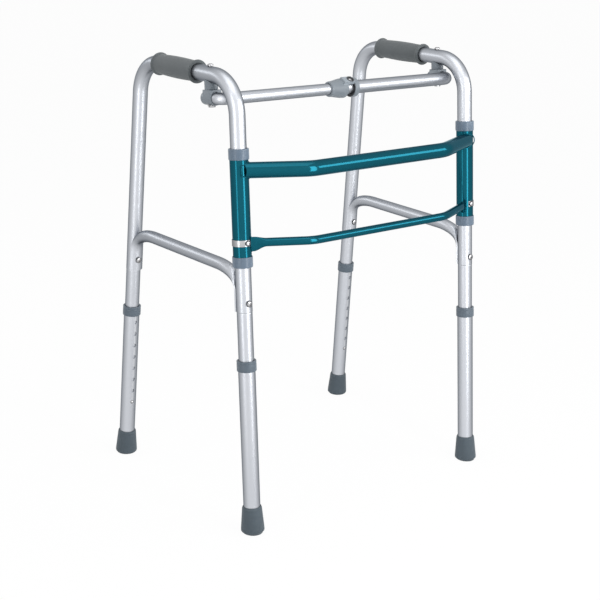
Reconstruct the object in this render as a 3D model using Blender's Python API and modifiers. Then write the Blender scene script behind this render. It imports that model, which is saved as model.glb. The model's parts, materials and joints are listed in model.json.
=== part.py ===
"""Folding walking frame with stepping side frames, telescopic legs and a hinged top bar.

Metres, +Z up. The frame stands on z = 0 with its front towards -Y; the user stands
between the two side frames, at +Y. Left and right are as seen from the front: left
is -X. The legs are at their shortest setting.
"""

import math

import bpy
import bmesh
from mathutils import Matrix, Vector

# Clearance between mating pieces
GAP = 0.0003

# Side frames
HANDLE_Z = 0.7534
BRACE_Z = 0.4440
HALF_WIDTH = 0.2517
FRONT_FOOT_Y = -0.19975
REAR_FOOT_Y = 0.19975
FRONT_LEAN = 0.0823
REAR_LEAN = 0.071
REAR_SPLAY = 0.0108
TUBE_R = 0.0132
TUBE_WALL = 0.0013
FRONT_SEAM_DROP = 0.0640
FRONT_SEAM_Z = BRACE_Z - FRONT_SEAM_DROP
REAR_SEAM_DROP = 0.0730
REAR_SEAM_Z = BRACE_Z - REAR_SEAM_DROP
FRONT_BEND = 0.062
REAR_BEND = 0.060

# Inner leg tubes, pushed into the side frames and held by the brace screws
INNER_R = 0.0129
INNER_WALL = 0.0012
NECK_LENGTH = 0.055
INNER_END_Z = 0.085

# Sliding lower legs
LOWER_WALL = 0.0011
LOWER_R = INNER_R + GAP + LOWER_WALL
LOWER_TOP_Z = 0.2969
LEG_COLLAR_R = 0.0164
LEG_COLLAR_LIP = 0.0016
LEG_COLLAR_TOP = LOWER_TOP_Z + LEG_COLLAR_LIP
LEG_COLLAR_H = 0.0178
HOLE_COUNT = 8
HOLE_PITCH = 0.023
FIRST_HOLE_Z = 0.108
SNAP_R = 0.0032
SNAP_PROUD = 0.0022
SNAP_FLANGE = 0.0012

# Rubber tips
TIP_R = 0.0199
TIP_TOP_R = 0.0167
TIP_H = 0.046
TIP_FLOOR = 0.0083
TIP_EDGE = 0.003

# Braces between the legs
BRACE_R = 0.0107
BRACE_WALL = 0.0012
BRACE_BEND_LENGTH = 0.053
BRACE_OUTER_DROP = 0.026
BRACE_INNER_DROP = 0.029
BRACE_SPREAD = math.radians(60)
DRAIN_R = 0.0015
FRONT_SCREW_DROP = 0.0490
REAR_SCREW_DROP = 0.0530
SCREW_R = 0.0021
SCREW_HEAD_R = 0.0047
SCREW_HEAD_H = 0.0026
SCREW_SEAT = 0.0008
SCREW_TAIL = 0.0025

# Hand grips
GRIP_FRONT_Y = -0.031
GRIP_LENGTH = 0.118
GRIP_R = 0.0168
GRIP_SWELL = 0.0014
GRIP_FLANGE_R = 0.0196
GRIP_FLANGE_W = 0.0045

# Front frame
SLEEVE_WALL = 0.0015
SLEEVE_R = 0.0153
SLEEVE_RISE = 0.0188
SLEEVE_LOW_Z = BRACE_Z + SLEEVE_RISE
SLEEVE_DROP = 0.1166
SLEEVE_HIGH_Z = HANDLE_Z - SLEEVE_DROP
COLLAR_H = 0.0175
COLLAR_R = 0.0167
COLLAR_END = 0.006
TURN_GAP = 0.0004
UPPER_BAR_DROP = 0.0253
UPPER_BAR_Z = SLEEVE_HIGH_Z - UPPER_BAR_DROP
UPPER_BAR_R = 0.0131
UPPER_BAR_WALL = 0.0013
LOWER_BAR_RISE = 0.0318
LOWER_BAR_Z = SLEEVE_LOW_Z + LOWER_BAR_RISE
LOWER_BAR_R = 0.0070
LOWER_BAR_WALL = 0.0012
LOWER_BAR_FLAT_H = 0.010
LOWER_BAR_FLAT_DROP = 0.003
LOWER_BAR_FLAT_T = 0.0018
LOWER_BAR_FLAT_LENGTH = 0.022
BAR_BOW = 0.054
BAR_START = 0.006
BAR_BEND_X = 0.148
BAR_BEND = 0.060

# Step locks on the sleeves
LOCK_Z = LOWER_BAR_Z
STRAP_T = 0.0007
STRAP_H = 0.0105
STRAP_REACH = 0.005
LOCK_PIN_R = 0.0022
LOCK_KNOB_R = 0.0040
LOCK_KNOB_H = 0.0026

# Folding top bar
PIVOT_BACK = 0.070
TOP_BAR_DROP = 0.0382
TOP_BAR_Z = HANDLE_Z - TOP_BAR_DROP
TOP_BAR_RADII = {"left": 0.010, "right": 0.0115}
TOP_BAR_WALL = 0.0012
TOP_BAR_FORWARD = 0.030
TOP_BAR_BEND = 0.016
TOP_BAR_TAIL = 0.012
CAP_WALL = 0.0010
CAP_FRONT = 0.0135
CAP_REAR = 0.021
PAD_HALF = 0.0110
PAD_RISE = 0.0026
PAD_INSET = 0.0008
SPACER_R = 0.0110
BOLT_R = 0.0030
BOLT_HEAD_R = 0.0050
BOLT_HEAD_H = 0.0035
WASHER_R = 0.0074
WASHER_H = 0.0006
NUT_R = 0.0058
NUT_H = 0.0025
BOLT_END = 0.0004

# Joint of the top bar
JOINT_X = 0.0066
JOINT_BACK = 0.019
JOINT_GAP = 0.0070
HOUSING_LENGTH = 0.034
HOUSING_R = 0.017
HOUSING_THIN_R = 0.0132
HOUSING_FLOOR = 0.007
HOUSING_EDGE = 0.001
HOUSING_BEVEL = 0.002
JOINT_COLLAR_L = 0.0112
EAR_R = 0.005
EAR_TOP = 0.009
LUG_HALF = 0.003
HINGE_PIN_R = 0.0024
HINGE_HEAD_R = 0.0036
HINGE_HEAD_H = 0.0015
TAB_HALF = 0.0076
TAB_T = 0.0062
TAB_BACK = 0.010
RELEASE_R = 0.0040
RELEASE_STEM_R = 0.0025
RELEASE_PROUD = 0.0034
RELEASE_TRAVEL = 0.0018
RELEASE_SOCKET_R = 0.0060
SOCKET_FLOOR = 0.0012
RELEASE_TILT = math.radians(36)

# Facets
TUBE_SIDES = 16
BRACE_SIDES = 12
BRACE_STEPS = 5
SMALL_SIDES = 10
HOLE_SIDES = 8
FRAME_BEND_STEPS = 6
BEND_STEPS = 4
BOW_STEPS = 3

UP = Vector((0.0, FRONT_LEAN, 1.0)).normalized()
X_AXIS = Vector((1.0, 0.0, 0.0))
SIDES = {"left": -1, "right": 1}


def clear_scene():
    for obj in list(bpy.data.objects):
        bpy.data.objects.remove(obj)


def make_collection(name):
    collection = bpy.data.collections.new(name)
    bpy.context.scene.collection.children.link(collection)
    return collection


clear_scene()
PARTS = make_collection("walker")
CUTTERS = make_collection("cutters")


# Materials

def make_material(name, colour, roughness, metallic):
    material = bpy.data.materials.new(name)
    material.use_nodes = True
    shader = material.node_tree.nodes["Principled BSDF"]
    shader.inputs["Base Color"].default_value = (*colour, 1.0)
    shader.inputs["Roughness"].default_value = roughness
    shader.inputs["Metallic"].default_value = metallic
    return material


ALUMINIUM = make_material("anodised_aluminium", (0.62, 0.64, 0.66), 0.38, 1.0)
TEAL = make_material("teal_paint", (0.006, 0.115, 0.150), 0.28, 0.3)
COLLAR_PLASTIC = make_material("blue_grey_plastic", (0.18, 0.24, 0.34), 0.50, 0.0)
DARK_PLASTIC = make_material("dark_grey_plastic", (0.13, 0.16, 0.20), 0.55, 0.0)
GREY_PLASTIC = make_material("grey_plastic", (0.25, 0.27, 0.28), 0.50, 0.0)
GRIP_RUBBER = make_material("grip_rubber", (0.14, 0.15, 0.16), 0.80, 0.0)
TIP_RUBBER = make_material("tip_rubber", (0.09, 0.11, 0.13), 0.85, 0.0)
STEEL = make_material("bright_steel", (0.60, 0.60, 0.60), 0.25, 1.0)


# Frames of reference

def leg_axis(side, end):
    """Foot point on the floor and upward direction of one leg's centre line."""
    sign = SIDES[side]
    if end == "front":
        foot = Vector((sign * HALF_WIDTH, FRONT_FOOT_Y, 0.0))
        top = foot + Vector((0.0, FRONT_LEAN, 1.0)) * HANDLE_Z
    else:
        foot = Vector((sign * (HALF_WIDTH + REAR_SPLAY), REAR_FOOT_Y, 0.0))
        top = Vector((sign * HALF_WIDTH, REAR_FOOT_Y - REAR_LEAN * HANDLE_Z, HANDLE_Z))
    return foot, (top - foot).normalized()


def leg_point(side, end, z):
    foot, direction = leg_axis(side, end)
    return foot + direction * (z / direction.z)


def inward(end):
    """Direction from a leg towards the other leg of its side frame."""
    return Vector((0.0, 1.0 if end == "front" else -1.0, 0.0))


def square_to(direction, axis):
    """The part of a direction that is square to an axis."""
    return (direction - axis * direction.dot(axis)).normalized()


def frame_matrix(origin, z_axis, x_hint):
    """Matrix whose Z runs along z_axis and whose X lies towards x_hint."""
    z_axis = z_axis.normalized()
    x_axis = square_to(x_hint, z_axis)
    y_axis = z_axis.cross(x_axis)
    matrix = Matrix((x_axis, y_axis, z_axis)).transposed().to_4x4()
    matrix.translation = origin
    return matrix


def bar_frame():
    """Frame of the top bar: X to the right, Z along the pivot bolts, origin between them."""
    pivot = leg_point("left", "front", TOP_BAR_Z)
    origin = Vector((0.0, pivot.y + PIVOT_BACK, TOP_BAR_Z))
    return frame_matrix(origin, UP, X_AXIS)


# Helpers that build solids

def add_object(name, mesh, material, matrix=None):
    obj = bpy.data.objects.new(name, mesh)
    PARTS.objects.link(obj)
    mesh.materials.clear()
    mesh.materials.append(material)
    if matrix is not None:
        obj.matrix_world = matrix
    mesh.shade_smooth()
    mesh.set_sharp_from_angle(angle=math.radians(35))
    return obj


def attach(obj, parent):
    """Parent an object and keep it where it is."""
    obj.parent = parent
    obj.matrix_parent_inverse = parent.matrix_world.inverted()


def axis_empty(name, matrix, parent=None):
    """Empty on a joint's axis that carries the pieces of a moving body."""
    empty = bpy.data.objects.new(name, None)
    empty.empty_display_size = 0.03
    PARTS.objects.link(empty)
    empty.matrix_world = matrix
    if parent is not None:
        attach(empty, parent)
    return empty


def set_outward(mesh):
    work = bmesh.new()
    work.from_mesh(mesh)
    bmesh.ops.recalc_face_normals(work, faces=work.faces)
    work.to_mesh(mesh)
    work.free()


def turned_mesh(name, profile, sides):
    """Solid of revolution about Z from a closed outline of (radius, height) points."""
    mesh = bpy.data.meshes.new(name)
    points = [(radius, 0.0, height) for radius, height in profile]
    count = len(points)
    on_axis = profile[0][0] == 0.0 and profile[-1][0] == 0.0
    edges = [(i, i + 1) for i in range(count - 1)]
    if not on_axis:
        edges.append((count - 1, 0))
    mesh.from_pydata(points, edges, [])
    holder = bpy.data.objects.new(name, mesh)
    PARTS.objects.link(holder)
    screw = holder.modifiers.new("turn", "SCREW")
    screw.axis = "Z"
    screw.steps = sides
    screw.render_steps = sides
    screw.use_merge_vertices = True
    screw.merge_threshold = 0.00001
    bpy.context.view_layer.update()
    graph = bpy.context.evaluated_depsgraph_get()
    solid = bpy.data.meshes.new_from_object(holder.evaluated_get(graph))
    bpy.data.objects.remove(holder)
    set_outward(solid)
    solid.name = name
    return solid


def turned(name, profile, material, matrix, sides=TUBE_SIDES):
    return add_object(name, turned_mesh(name, profile, sides), material, matrix)


def ring_profile(inner, outer, low, high):
    return [(inner, low), (outer, low), (outer, high), (inner, high)]


def bent_path(corners, radii, steps):
    """Points of a path through the corners, each inner corner rounded to its radius."""
    points = [corners[0]]
    for before, corner, after, radius in zip(corners, corners[1:], corners[2:], radii):
        back = (before - corner).normalized()
        ahead = (after - corner).normalized()
        half = back.angle(ahead) / 2
        reach = radius / math.tan(half)
        centre = corner + (back + ahead).normalized() * (radius / math.sin(half))
        start = corner + back * reach - centre
        end = corner + ahead * reach - centre
        turn = start.angle(end)
        for step in range(steps + 1):
            share = step / steps
            point = start * math.sin((1 - share) * turn) + end * math.sin(share * turn)
            points.append(centre + point / math.sin(turn))
    points.append(corners[-1])
    return points


def tube_mesh(name, points, radius, sides, capped):
    """Round tube along a path, from a curve with a bevel depth."""
    curve = bpy.data.curves.new(name, "CURVE")
    curve.dimensions = "3D"
    curve.bevel_depth = radius
    curve.bevel_resolution = (sides - 4) // 2
    curve.use_fill_caps = capped
    spline = curve.splines.new("POLY")
    spline.points.add(len(points) - 1)
    for target, point in zip(spline.points, points):
        target.co = (*point, 1.0)
    holder = bpy.data.objects.new(name, curve)
    PARTS.objects.link(holder)
    bpy.context.view_layer.update()
    graph = bpy.context.evaluated_depsgraph_get()
    mesh = bpy.data.meshes.new_from_object(holder.evaluated_get(graph))
    bpy.data.objects.remove(holder)
    work = bmesh.new()
    work.from_mesh(mesh)
    bmesh.ops.remove_doubles(work, verts=work.verts, dist=0.00001)
    bmesh.ops.recalc_face_normals(work, faces=work.faces)
    work.to_mesh(mesh)
    work.free()
    mesh.name = name
    return mesh


def hollow_tube(name, points, radius, wall, material, sides=TUBE_SIDES):
    obj = add_object(name, tube_mesh(name, points, radius, sides, False), material)
    shell = obj.modifiers.new("wall", "SOLIDIFY")
    shell.thickness = wall
    shell.offset = -1.0
    shell.use_even_offset = True
    return obj


def loft_mesh(name, rings):
    """Closed solid through rings that all have the same number of points."""
    work = bmesh.new()
    loops = [[work.verts.new(point) for point in ring] for ring in rings]
    count = len(loops[0])
    for low, high in zip(loops, loops[1:]):
        for i in range(count):
            j = (i + 1) % count
            work.faces.new((low[i], low[j], high[j], high[i]))
    work.faces.new(loops[0])
    work.faces.new(loops[-1])
    bmesh.ops.recalc_face_normals(work, faces=work.faces)
    mesh = bpy.data.meshes.new(name)
    work.to_mesh(mesh)
    work.free()
    return mesh


def box_mesh(name, low, high):
    work = bmesh.new()
    bmesh.ops.create_cube(work, size=1.0)
    size = Vector(high) - Vector(low)
    centre = (Vector(high) + Vector(low)) / 2
    bmesh.ops.scale(work, vec=size, verts=work.verts)
    bmesh.ops.translate(work, vec=centre, verts=work.verts)
    mesh = bpy.data.meshes.new(name)
    work.to_mesh(mesh)
    work.free()
    return mesh


def rod_mesh(name, radius, low, high, sides=HOLE_SIDES):
    """Solid round rod along Z."""
    work = bmesh.new()
    bmesh.ops.create_cone(work, cap_ends=True, segments=sides, radius1=radius, radius2=radius,
                          depth=high - low)
    bmesh.ops.translate(work, vec=(0.0, 0.0, (low + high) / 2), verts=work.verts)
    mesh = bpy.data.meshes.new(name)
    work.to_mesh(mesh)
    work.free()
    return mesh


def tool(name, mesh, matrix=None):
    """A cutter or an added volume, kept out of the parts."""
    obj = bpy.data.objects.new(name, mesh)
    CUTTERS.objects.link(obj)
    obj.hide_render = True
    obj.display_type = "WIRE"
    if matrix is not None:
        obj.matrix_world = matrix
    return obj


def combine(obj, other, operation):
    attach(other, obj)
    boolean = obj.modifiers.new(other.name, "BOOLEAN")
    boolean.operation = operation
    boolean.solver = "EXACT"
    boolean.object = other


def cut(obj, other):
    combine(obj, other, "DIFFERENCE")


def join(obj, other):
    combine(obj, other, "UNION")


def drill(obj, point, direction, radius, low, high, sides=HOLE_SIDES):
    """Round hole from low to high along a direction through a point."""
    name = obj.name + "_hole_" + str(len(obj.modifiers))
    matrix = frame_matrix(point, direction, square_hint(direction))
    cut(obj, tool(name, rod_mesh(name, radius, low, high, sides), matrix))


def square_hint(direction):
    return X_AXIS if abs(direction.x) < 0.9 else Vector((0.0, 0.0, 1.0))


# Side frame

def side_frame_tube(side):
    """The bent tube that is both legs' upper part and the handle."""
    front_corner = leg_point(side, "front", HANDLE_Z)
    rear_corner = leg_point(side, "rear", HANDLE_Z)
    corners = [leg_point(side, "front", FRONT_SEAM_Z), front_corner, rear_corner,
               leg_point(side, "rear", REAR_SEAM_Z)]
    path = bent_path(corners, (FRONT_BEND, REAR_BEND), FRAME_BEND_STEPS)
    obj = hollow_tube(side + "_frame_tube", path, TUBE_R, TUBE_WALL, ALUMINIUM)
    for end in ("front", "rear"):
        drill_screw_hole(obj, side, end, SCREW_R + GAP)
    drill(obj, pivot_point(side), UP, BOLT_R + GAP, 0.0, 2 * (HANDLE_Z - TOP_BAR_Z))
    return obj


def pivot_point(side):
    """Where the pivot bolt's axis meets the top bar's centre plane."""
    return bar_frame() @ Vector((SIDES[side] * HALF_WIDTH, 0.0, 0.0))


def seam_z(end):
    return FRONT_SEAM_Z if end == "front" else REAR_SEAM_Z


def screw_direction(side, end):
    """From the brace's face of the leg, out through the leg."""
    return square_to(inward(end), leg_axis(side, end)[1])


def screw_z(end):
    return BRACE_Z - (FRONT_SCREW_DROP if end == "front" else REAR_SCREW_DROP)


def drill_screw_hole(obj, side, end, radius):
    reach = 2 * TUBE_R
    drill(obj, leg_point(side, end, screw_z(end)), screw_direction(side, end), radius, -reach, reach)


def inner_leg(side, end):
    """Leg tube below the seam, with a neck that fits inside the frame tube."""
    foot, direction = leg_axis(side, end)
    low = INNER_END_Z / direction.z
    seam = seam_z(end) / direction.z - GAP
    neck_r = TUBE_R - TUBE_WALL - GAP
    top = seam + NECK_LENGTH
    profile = [(INNER_R, low), (INNER_R, seam), (neck_r, seam), (neck_r, top),
               (neck_r - INNER_WALL, top), (neck_r - INNER_WALL, seam - INNER_WALL),
               (INNER_R - INNER_WALL, seam - 3 * INNER_WALL), (INNER_R - INNER_WALL, low)]
    name = side + "_" + end + "_inner_leg"
    obj = turned(name, profile, ALUMINIUM, frame_matrix(foot, direction, X_AXIS))
    drill_screw_hole(obj, side, end, SCREW_R + GAP)
    drill(obj, leg_point(side, end, FIRST_HOLE_Z), screw_direction(side, end), SNAP_R + GAP, 0.0, 2 * INNER_R)
    return obj


def crescent_point(side, end, z, angle):
    """Point of the pressed section round a leg: its face away from the leg first, then its inner face."""
    foot, direction = leg_axis(side, end)
    out = screw_direction(side, end)
    across = square_to(X_AXIS, direction)
    quarter = math.pi / 2
    if angle <= quarter:
        radius = TUBE_R + GAP + 2 * BRACE_WALL
        turn = angle * BRACE_SPREAD / quarter
    else:
        radius = TUBE_R + GAP
        turn = (math.pi - angle) * BRACE_SPREAD / quarter
    return foot + direction * (z / direction.z) + out * (radius * math.cos(turn)) + across * (radius * math.sin(turn))


def bend_ring(side, end, share):
    """Section of the brace in its bend, from the round tube to the crescent beside the leg."""
    turn = share * math.pi / 2
    drop = 1 - math.cos(turn)
    reach = 1 - math.sin(turn)
    face = TUBE_R + GAP
    outer_z = BRACE_Z + BRACE_R - BRACE_OUTER_DROP * drop
    inner_z = BRACE_Z - BRACE_R - BRACE_INNER_DROP * drop
    towards = inward(end)
    outer = leg_point(side, end, outer_z) + towards * (face + BRACE_BEND_LENGTH * reach)
    inner = leg_point(side, end, inner_z) + towards * (face + 2 * BRACE_WALL + BRACE_BEND_LENGTH * reach)
    middle = (outer + inner) / 2
    half = (inner - outer) / 2
    direction = leg_axis(side, end)[1]
    ring = []
    for angle in ring_angles(BRACE_SIDES):
        place = middle + half * math.cos(angle) + X_AXIS * (BRACE_R * math.sin(angle))
        z = outer_z + (inner_z - outer_z) * (0.5 + 0.5 * math.cos(angle))
        place = place.lerp(crescent_point(side, end, z, angle), drop)
        centre = leg_axis(side, end)[0] + direction * (place - leg_axis(side, end)[0]).dot(direction)
        away = place - centre
        ring.append(centre + away.normalized() * max(away.length, face))
    return ring


def flat_ring(side, end, z):
    return [crescent_point(side, end, z, angle) for angle in ring_angles(BRACE_SIDES)]


def straight_ring(side, end, radius):
    """Round section at an end of the straight part of the brace."""
    distance = TUBE_R + GAP + BRACE_BEND_LENGTH
    upper = leg_point(side, end, BRACE_Z + BRACE_R) + inward(end) * distance
    lower = leg_point(side, end, BRACE_Z - BRACE_R) + inward(end) * (distance + 2 * BRACE_WALL)
    half = (lower - upper) / 2 * (radius / BRACE_R)
    middle = (upper + lower) / 2
    ring = []
    for angle in ring_angles(BRACE_SIDES):
        ring.append(middle + half * math.cos(angle) + X_AXIS * (radius * math.sin(angle)))
    return ring


def ring_angles(sides):
    return [2 * math.pi * (i + 0.5) / sides - math.pi / 2 for i in range(sides)]


def path_tangents(points):
    tangents = []
    for i in range(len(points)):
        before = points[max(i - 1, 0)]
        after = points[min(i + 1, len(points) - 1)]
        tangents.append((after - before).normalized())
    return tangents


def side_brace(side):
    """Brace tube between the legs, its ends bent down and pressed flat round them."""
    halves = {}
    for end in ("front", "rear"):
        inner_end_z = BRACE_Z - BRACE_R - BRACE_INNER_DROP
        flat = [flat_ring(side, end, z) for z in (seam_z(end), (seam_z(end) + inner_end_z) / 2)]
        bend = [bend_ring(side, end, step / BRACE_STEPS) for step in range(BRACE_STEPS, -1, -1)]
        halves[end] = flat + bend
    name = side + "_brace"
    obj = add_object(name, loft_mesh(name, halves["front"] + halves["rear"][::-1]), ALUMINIUM)
    bore = [straight_ring(side, end, BRACE_R - BRACE_WALL) for end in ("front", "rear")]
    cut(obj, tool(name + "_bore", loft_mesh(name + "_bore", bore)))
    middle = (leg_point(side, "front", BRACE_Z) + leg_point(side, "rear", BRACE_Z)) / 2
    drill(obj, middle, Vector((0.0, 0.0, -1.0)), DRAIN_R, 0.0, 2 * BRACE_R)
    for end in ("front", "rear"):
        drill_screw_hole(obj, side, end, SCREW_R + GAP)
    return obj


def brace_screw(side, end):
    """Pan-head screw through the brace and the leg, its head towards the front."""
    forward = square_to(Vector((0.0, -1.0, 0.0)), leg_axis(side, end)[1])
    face = TUBE_R + GAP
    tail = TUBE_R + GAP + SCREW_TAIL
    if end == "rear":
        face += 2 * BRACE_WALL
    else:
        tail += 2 * BRACE_WALL
    rim = face + SCREW_SEAT
    profile = [(0.0, -tail), (SCREW_R, -tail), (SCREW_R, rim), (SCREW_HEAD_R, rim),
               (SCREW_HEAD_R, rim + 0.4 * SCREW_HEAD_H), (0.6 * SCREW_HEAD_R, rim + SCREW_HEAD_H),
               (0.0, rim + SCREW_HEAD_H)]
    matrix = frame_matrix(leg_point(side, end, screw_z(end)), forward, X_AXIS)
    return turned(side + "_" + end + "_brace_screw", profile, STEEL, matrix, SMALL_SIDES)


def hand_grip(side):
    """Moulded grip with a flange at each end."""
    outer = [(GRIP_FLANGE_R, 0.0), (GRIP_FLANGE_R, GRIP_FLANGE_W),
             (GRIP_R, GRIP_FLANGE_W + GRIP_FLANGE_R - GRIP_R),
             (GRIP_R + GRIP_SWELL, GRIP_LENGTH / 2)]
    outer += [(radius, GRIP_LENGTH - height) for radius, height in outer[-2::-1]]
    bore = TUBE_R + GAP
    profile = outer + [(bore, GRIP_LENGTH), (bore, 0.0)]
    origin = Vector((SIDES[side] * HALF_WIDTH, GRIP_FRONT_Y, HANDLE_Z))
    matrix = frame_matrix(origin, Vector((0.0, 1.0, 0.0)), X_AXIS)
    return turned(side + "_grip", profile, GRIP_RUBBER, matrix)


# Telescopic lower legs

def lower_leg(side, end):
    """Outer tube with a row of height holes that slides on the inner leg."""
    foot, direction = leg_axis(side, end)
    low = (TIP_FLOOR + GAP) / direction.z
    high = LOWER_TOP_Z / direction.z
    name = side + "_" + end + "_leg_tube"
    profile = ring_profile(LOWER_R - LOWER_WALL, LOWER_R, low, high)
    obj = turned(name, profile, ALUMINIUM, frame_matrix(foot, direction, X_AXIS))
    for index in range(HOLE_COUNT):
        point = leg_point(side, end, FIRST_HOLE_Z) + direction * (index * HOLE_PITCH)
        drill(obj, point, screw_direction(side, end), SNAP_R + GAP, 0.0, 2 * LOWER_R)
    return obj


def leg_collar(side, end):
    """Plastic ring on the top of the lower leg that takes up the play on the inner leg."""
    foot, direction = leg_axis(side, end)
    top = LEG_COLLAR_TOP / direction.z
    low = top - LEG_COLLAR_H
    lip = LOWER_TOP_Z / direction.z + GAP
    profile = [(LOWER_R + GAP, low), (LEG_COLLAR_R, low), (LEG_COLLAR_R, top),
               (INNER_R + GAP, top), (INNER_R + GAP, lip), (LOWER_R + GAP, lip)]
    name = side + "_" + end + "_leg_collar"
    return turned(name, profile, DARK_PLASTIC, frame_matrix(foot, direction, X_AXIS))


def rubber_tip(side, end):
    """Rubber ferrule on the foot of a leg, cut level with the floor."""
    foot, direction = leg_axis(side, end)
    bore = LOWER_R + GAP
    below = -TIP_R * FRONT_LEAN * 2
    profile = [(0.0, below), (TIP_R - TIP_EDGE, below), (TIP_R - TIP_EDGE, 0.0), (TIP_R, TIP_EDGE),
               (TIP_R, 2 * TIP_EDGE), (TIP_TOP_R, TIP_H - TIP_EDGE), (TIP_TOP_R - TIP_EDGE / 2, TIP_H),
               (bore, TIP_H), (bore, TIP_FLOOR), (0.0, TIP_FLOOR)]
    name = side + "_" + end + "_tip"
    obj = turned(name, profile, TIP_RUBBER, frame_matrix(foot, direction, X_AXIS))
    reach = 2 * TIP_R
    floor = box_mesh(name + "_floor", (-reach, -reach, -reach), (reach, reach, 0.0))
    cut(obj, tool(name + "_floor", floor, Matrix.Translation(foot)))
    return obj


def snap_button(side, end):
    """Spring button that locks the leg's height, with a flange inside the inner leg."""
    proud = LOWER_R + SNAP_PROUD
    flange_r = SNAP_R + SNAP_FLANGE
    inner = INNER_R - INNER_WALL
    flange_top = math.sqrt(inner ** 2 - flange_r ** 2) - GAP
    profile = [(0.0, flange_top - SNAP_FLANGE), (flange_r, flange_top - SNAP_FLANGE),
               (flange_r, flange_top), (SNAP_R, flange_top), (SNAP_R, proud - SNAP_R * 0.7),
               (SNAP_R * 0.7, proud - SNAP_R * 0.2), (0.0, proud)]
    matrix = frame_matrix(leg_point(side, end, FIRST_HOLE_Z), screw_direction(side, end), X_AXIS)
    return turned(side + "_" + end + "_snap_button", profile, STEEL, matrix, SMALL_SIDES)


# Front frame

def sleeve_span():
    """Heights of the sleeve's ends, inside its two collars."""
    rise = COLLAR_END + GAP
    return (SLEEVE_LOW_Z - COLLAR_H / 2 + rise) / UP.z, (SLEEVE_HIGH_Z + COLLAR_H / 2 - rise) / UP.z


def front_sleeve(side):
    """Painted sleeve that turns on the front leg."""
    low, high = sleeve_span()
    profile = ring_profile(SLEEVE_R - SLEEVE_WALL, SLEEVE_R, low, high)
    foot = leg_axis(side, "front")[0]
    obj = turned(side + "_sleeve", profile, TEAL, frame_matrix(foot, UP, X_AXIS))
    drill(obj, leg_point(side, "front", LOCK_Z), lock_direction(), LOCK_PIN_R + GAP, 0.0, 2 * SLEEVE_R)
    return obj


def sleeve_collar(side, level):
    """Bush in the sleeve's end: a cap ring outside, running on the leg."""
    middle = SLEEVE_LOW_Z if level == "lower" else SLEEVE_HIGH_Z
    low = (middle - COLLAR_H / 2) / UP.z
    high = (middle + COLLAR_H / 2) / UP.z
    bore = TUBE_R + TURN_GAP
    seat = SLEEVE_R + TURN_GAP
    if level == "lower":
        step = low + COLLAR_END
        profile = [(bore, low), (COLLAR_R, low), (COLLAR_R, high), (seat, high), (seat, step), (bore, step)]
    else:
        step = high - COLLAR_END
        profile = [(seat, low), (COLLAR_R, low), (COLLAR_R, high), (bore, high), (bore, step), (seat, step)]
    foot = leg_axis(side, "front")[0]
    name = side + "_" + level + "_collar"
    return turned(name, profile, COLLAR_PLASTIC, frame_matrix(foot, UP, X_AXIS))


def lock_direction():
    return square_to(Vector((0.0, -1.0, 0.0)), UP)


def lock_strap(side):
    """Steel spring strap snapped round the outer half of a sleeve."""
    inner = SLEEVE_R + GAP
    outer = inner + STRAP_T
    profile = ring_profile(inner, outer, -STRAP_H / 2, STRAP_H / 2)
    matrix = frame_matrix(leg_point(side, "front", LOCK_Z), UP, X_AXIS)
    name = side + "_lock_strap"
    obj = turned(name, profile, STEEL, matrix, TUBE_SIDES)
    sign = SIDES[side]
    near = -sign * STRAP_REACH
    far = -sign * 2 * outer
    gap = box_mesh(name + "_gap", (min(near, far), -2 * outer, -STRAP_H), (max(near, far), 2 * outer, STRAP_H))
    cut(obj, tool(name + "_gap", gap, matrix))
    drill(obj, leg_point(side, "front", LOCK_Z), lock_direction(), LOCK_PIN_R + GAP, 0.0, 2 * SLEEVE_R)
    return obj


def lock_pin(side):
    """Pull pin that stops the stepping motion; it ends just outside the leg."""
    start = TUBE_R + GAP
    seat = SLEEVE_R + STRAP_T + 2 * GAP
    top = seat + LOCK_KNOB_H
    profile = [(0.0, start), (LOCK_PIN_R, start), (LOCK_PIN_R, seat), (LOCK_KNOB_R, seat),
               (LOCK_KNOB_R, seat + 0.35 * LOCK_KNOB_H), (0.65 * LOCK_KNOB_R, seat + 0.85 * LOCK_KNOB_H),
               (0.0, top)]
    matrix = frame_matrix(leg_point(side, "front", LOCK_Z), lock_direction(), X_AXIS)
    return turned(side + "_lock_pin", profile, STEEL, matrix, SMALL_SIDES)


def bowed_path(z):
    """Centre line of a front bar: straight in the middle, bowed forward of the legs."""
    start = leg_point("left", "front", z) + Vector((0.0, -BAR_START, 0.0))
    y_bow = leg_point("left", "front", z).y - BAR_BOW
    corners = [start, Vector((-BAR_BEND_X, y_bow, z)), Vector((BAR_BEND_X, y_bow, z)),
               Vector((-start.x, start.y, z))]
    return bent_path(corners, (BAR_BEND, BAR_BEND), BOW_STEPS)


def sleeve_frame(side):
    """Frame on a front leg's axis, with X towards the other leg."""
    return frame_matrix(leg_axis(side, "front")[0], UP, X_AXIS * -SIDES[side])


def cut_at_sleeves(obj):
    """Shape the ends of a front bar to the two sleeves."""
    low, high = sleeve_span()
    for side in SIDES:
        name = obj.name + "_" + side + "_seat"
        rod = rod_mesh(name, SLEEVE_R + GAP, low, high, 2 * TUBE_SIDES)
        cut(obj, tool(name, rod, sleeve_frame(side)))


def cut_past_sleeves(obj):
    """Trim a front bar where it runs past the middle of the two sleeves."""
    low, high = sleeve_span()
    reach = 3 * SLEEVE_R
    for side in SIDES:
        name = obj.name + "_" + side + "_end"
        box = box_mesh(name, (-reach, -reach, low), (0.0, reach, high))
        cut(obj, tool(name, box, sleeve_frame(side)))


def upper_bar():
    obj = hollow_tube("upper_cross_bar", bowed_path(UPPER_BAR_Z), UPPER_BAR_R, UPPER_BAR_WALL, TEAL)
    cut_at_sleeves(obj)
    cut_past_sleeves(obj)
    return obj


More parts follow.
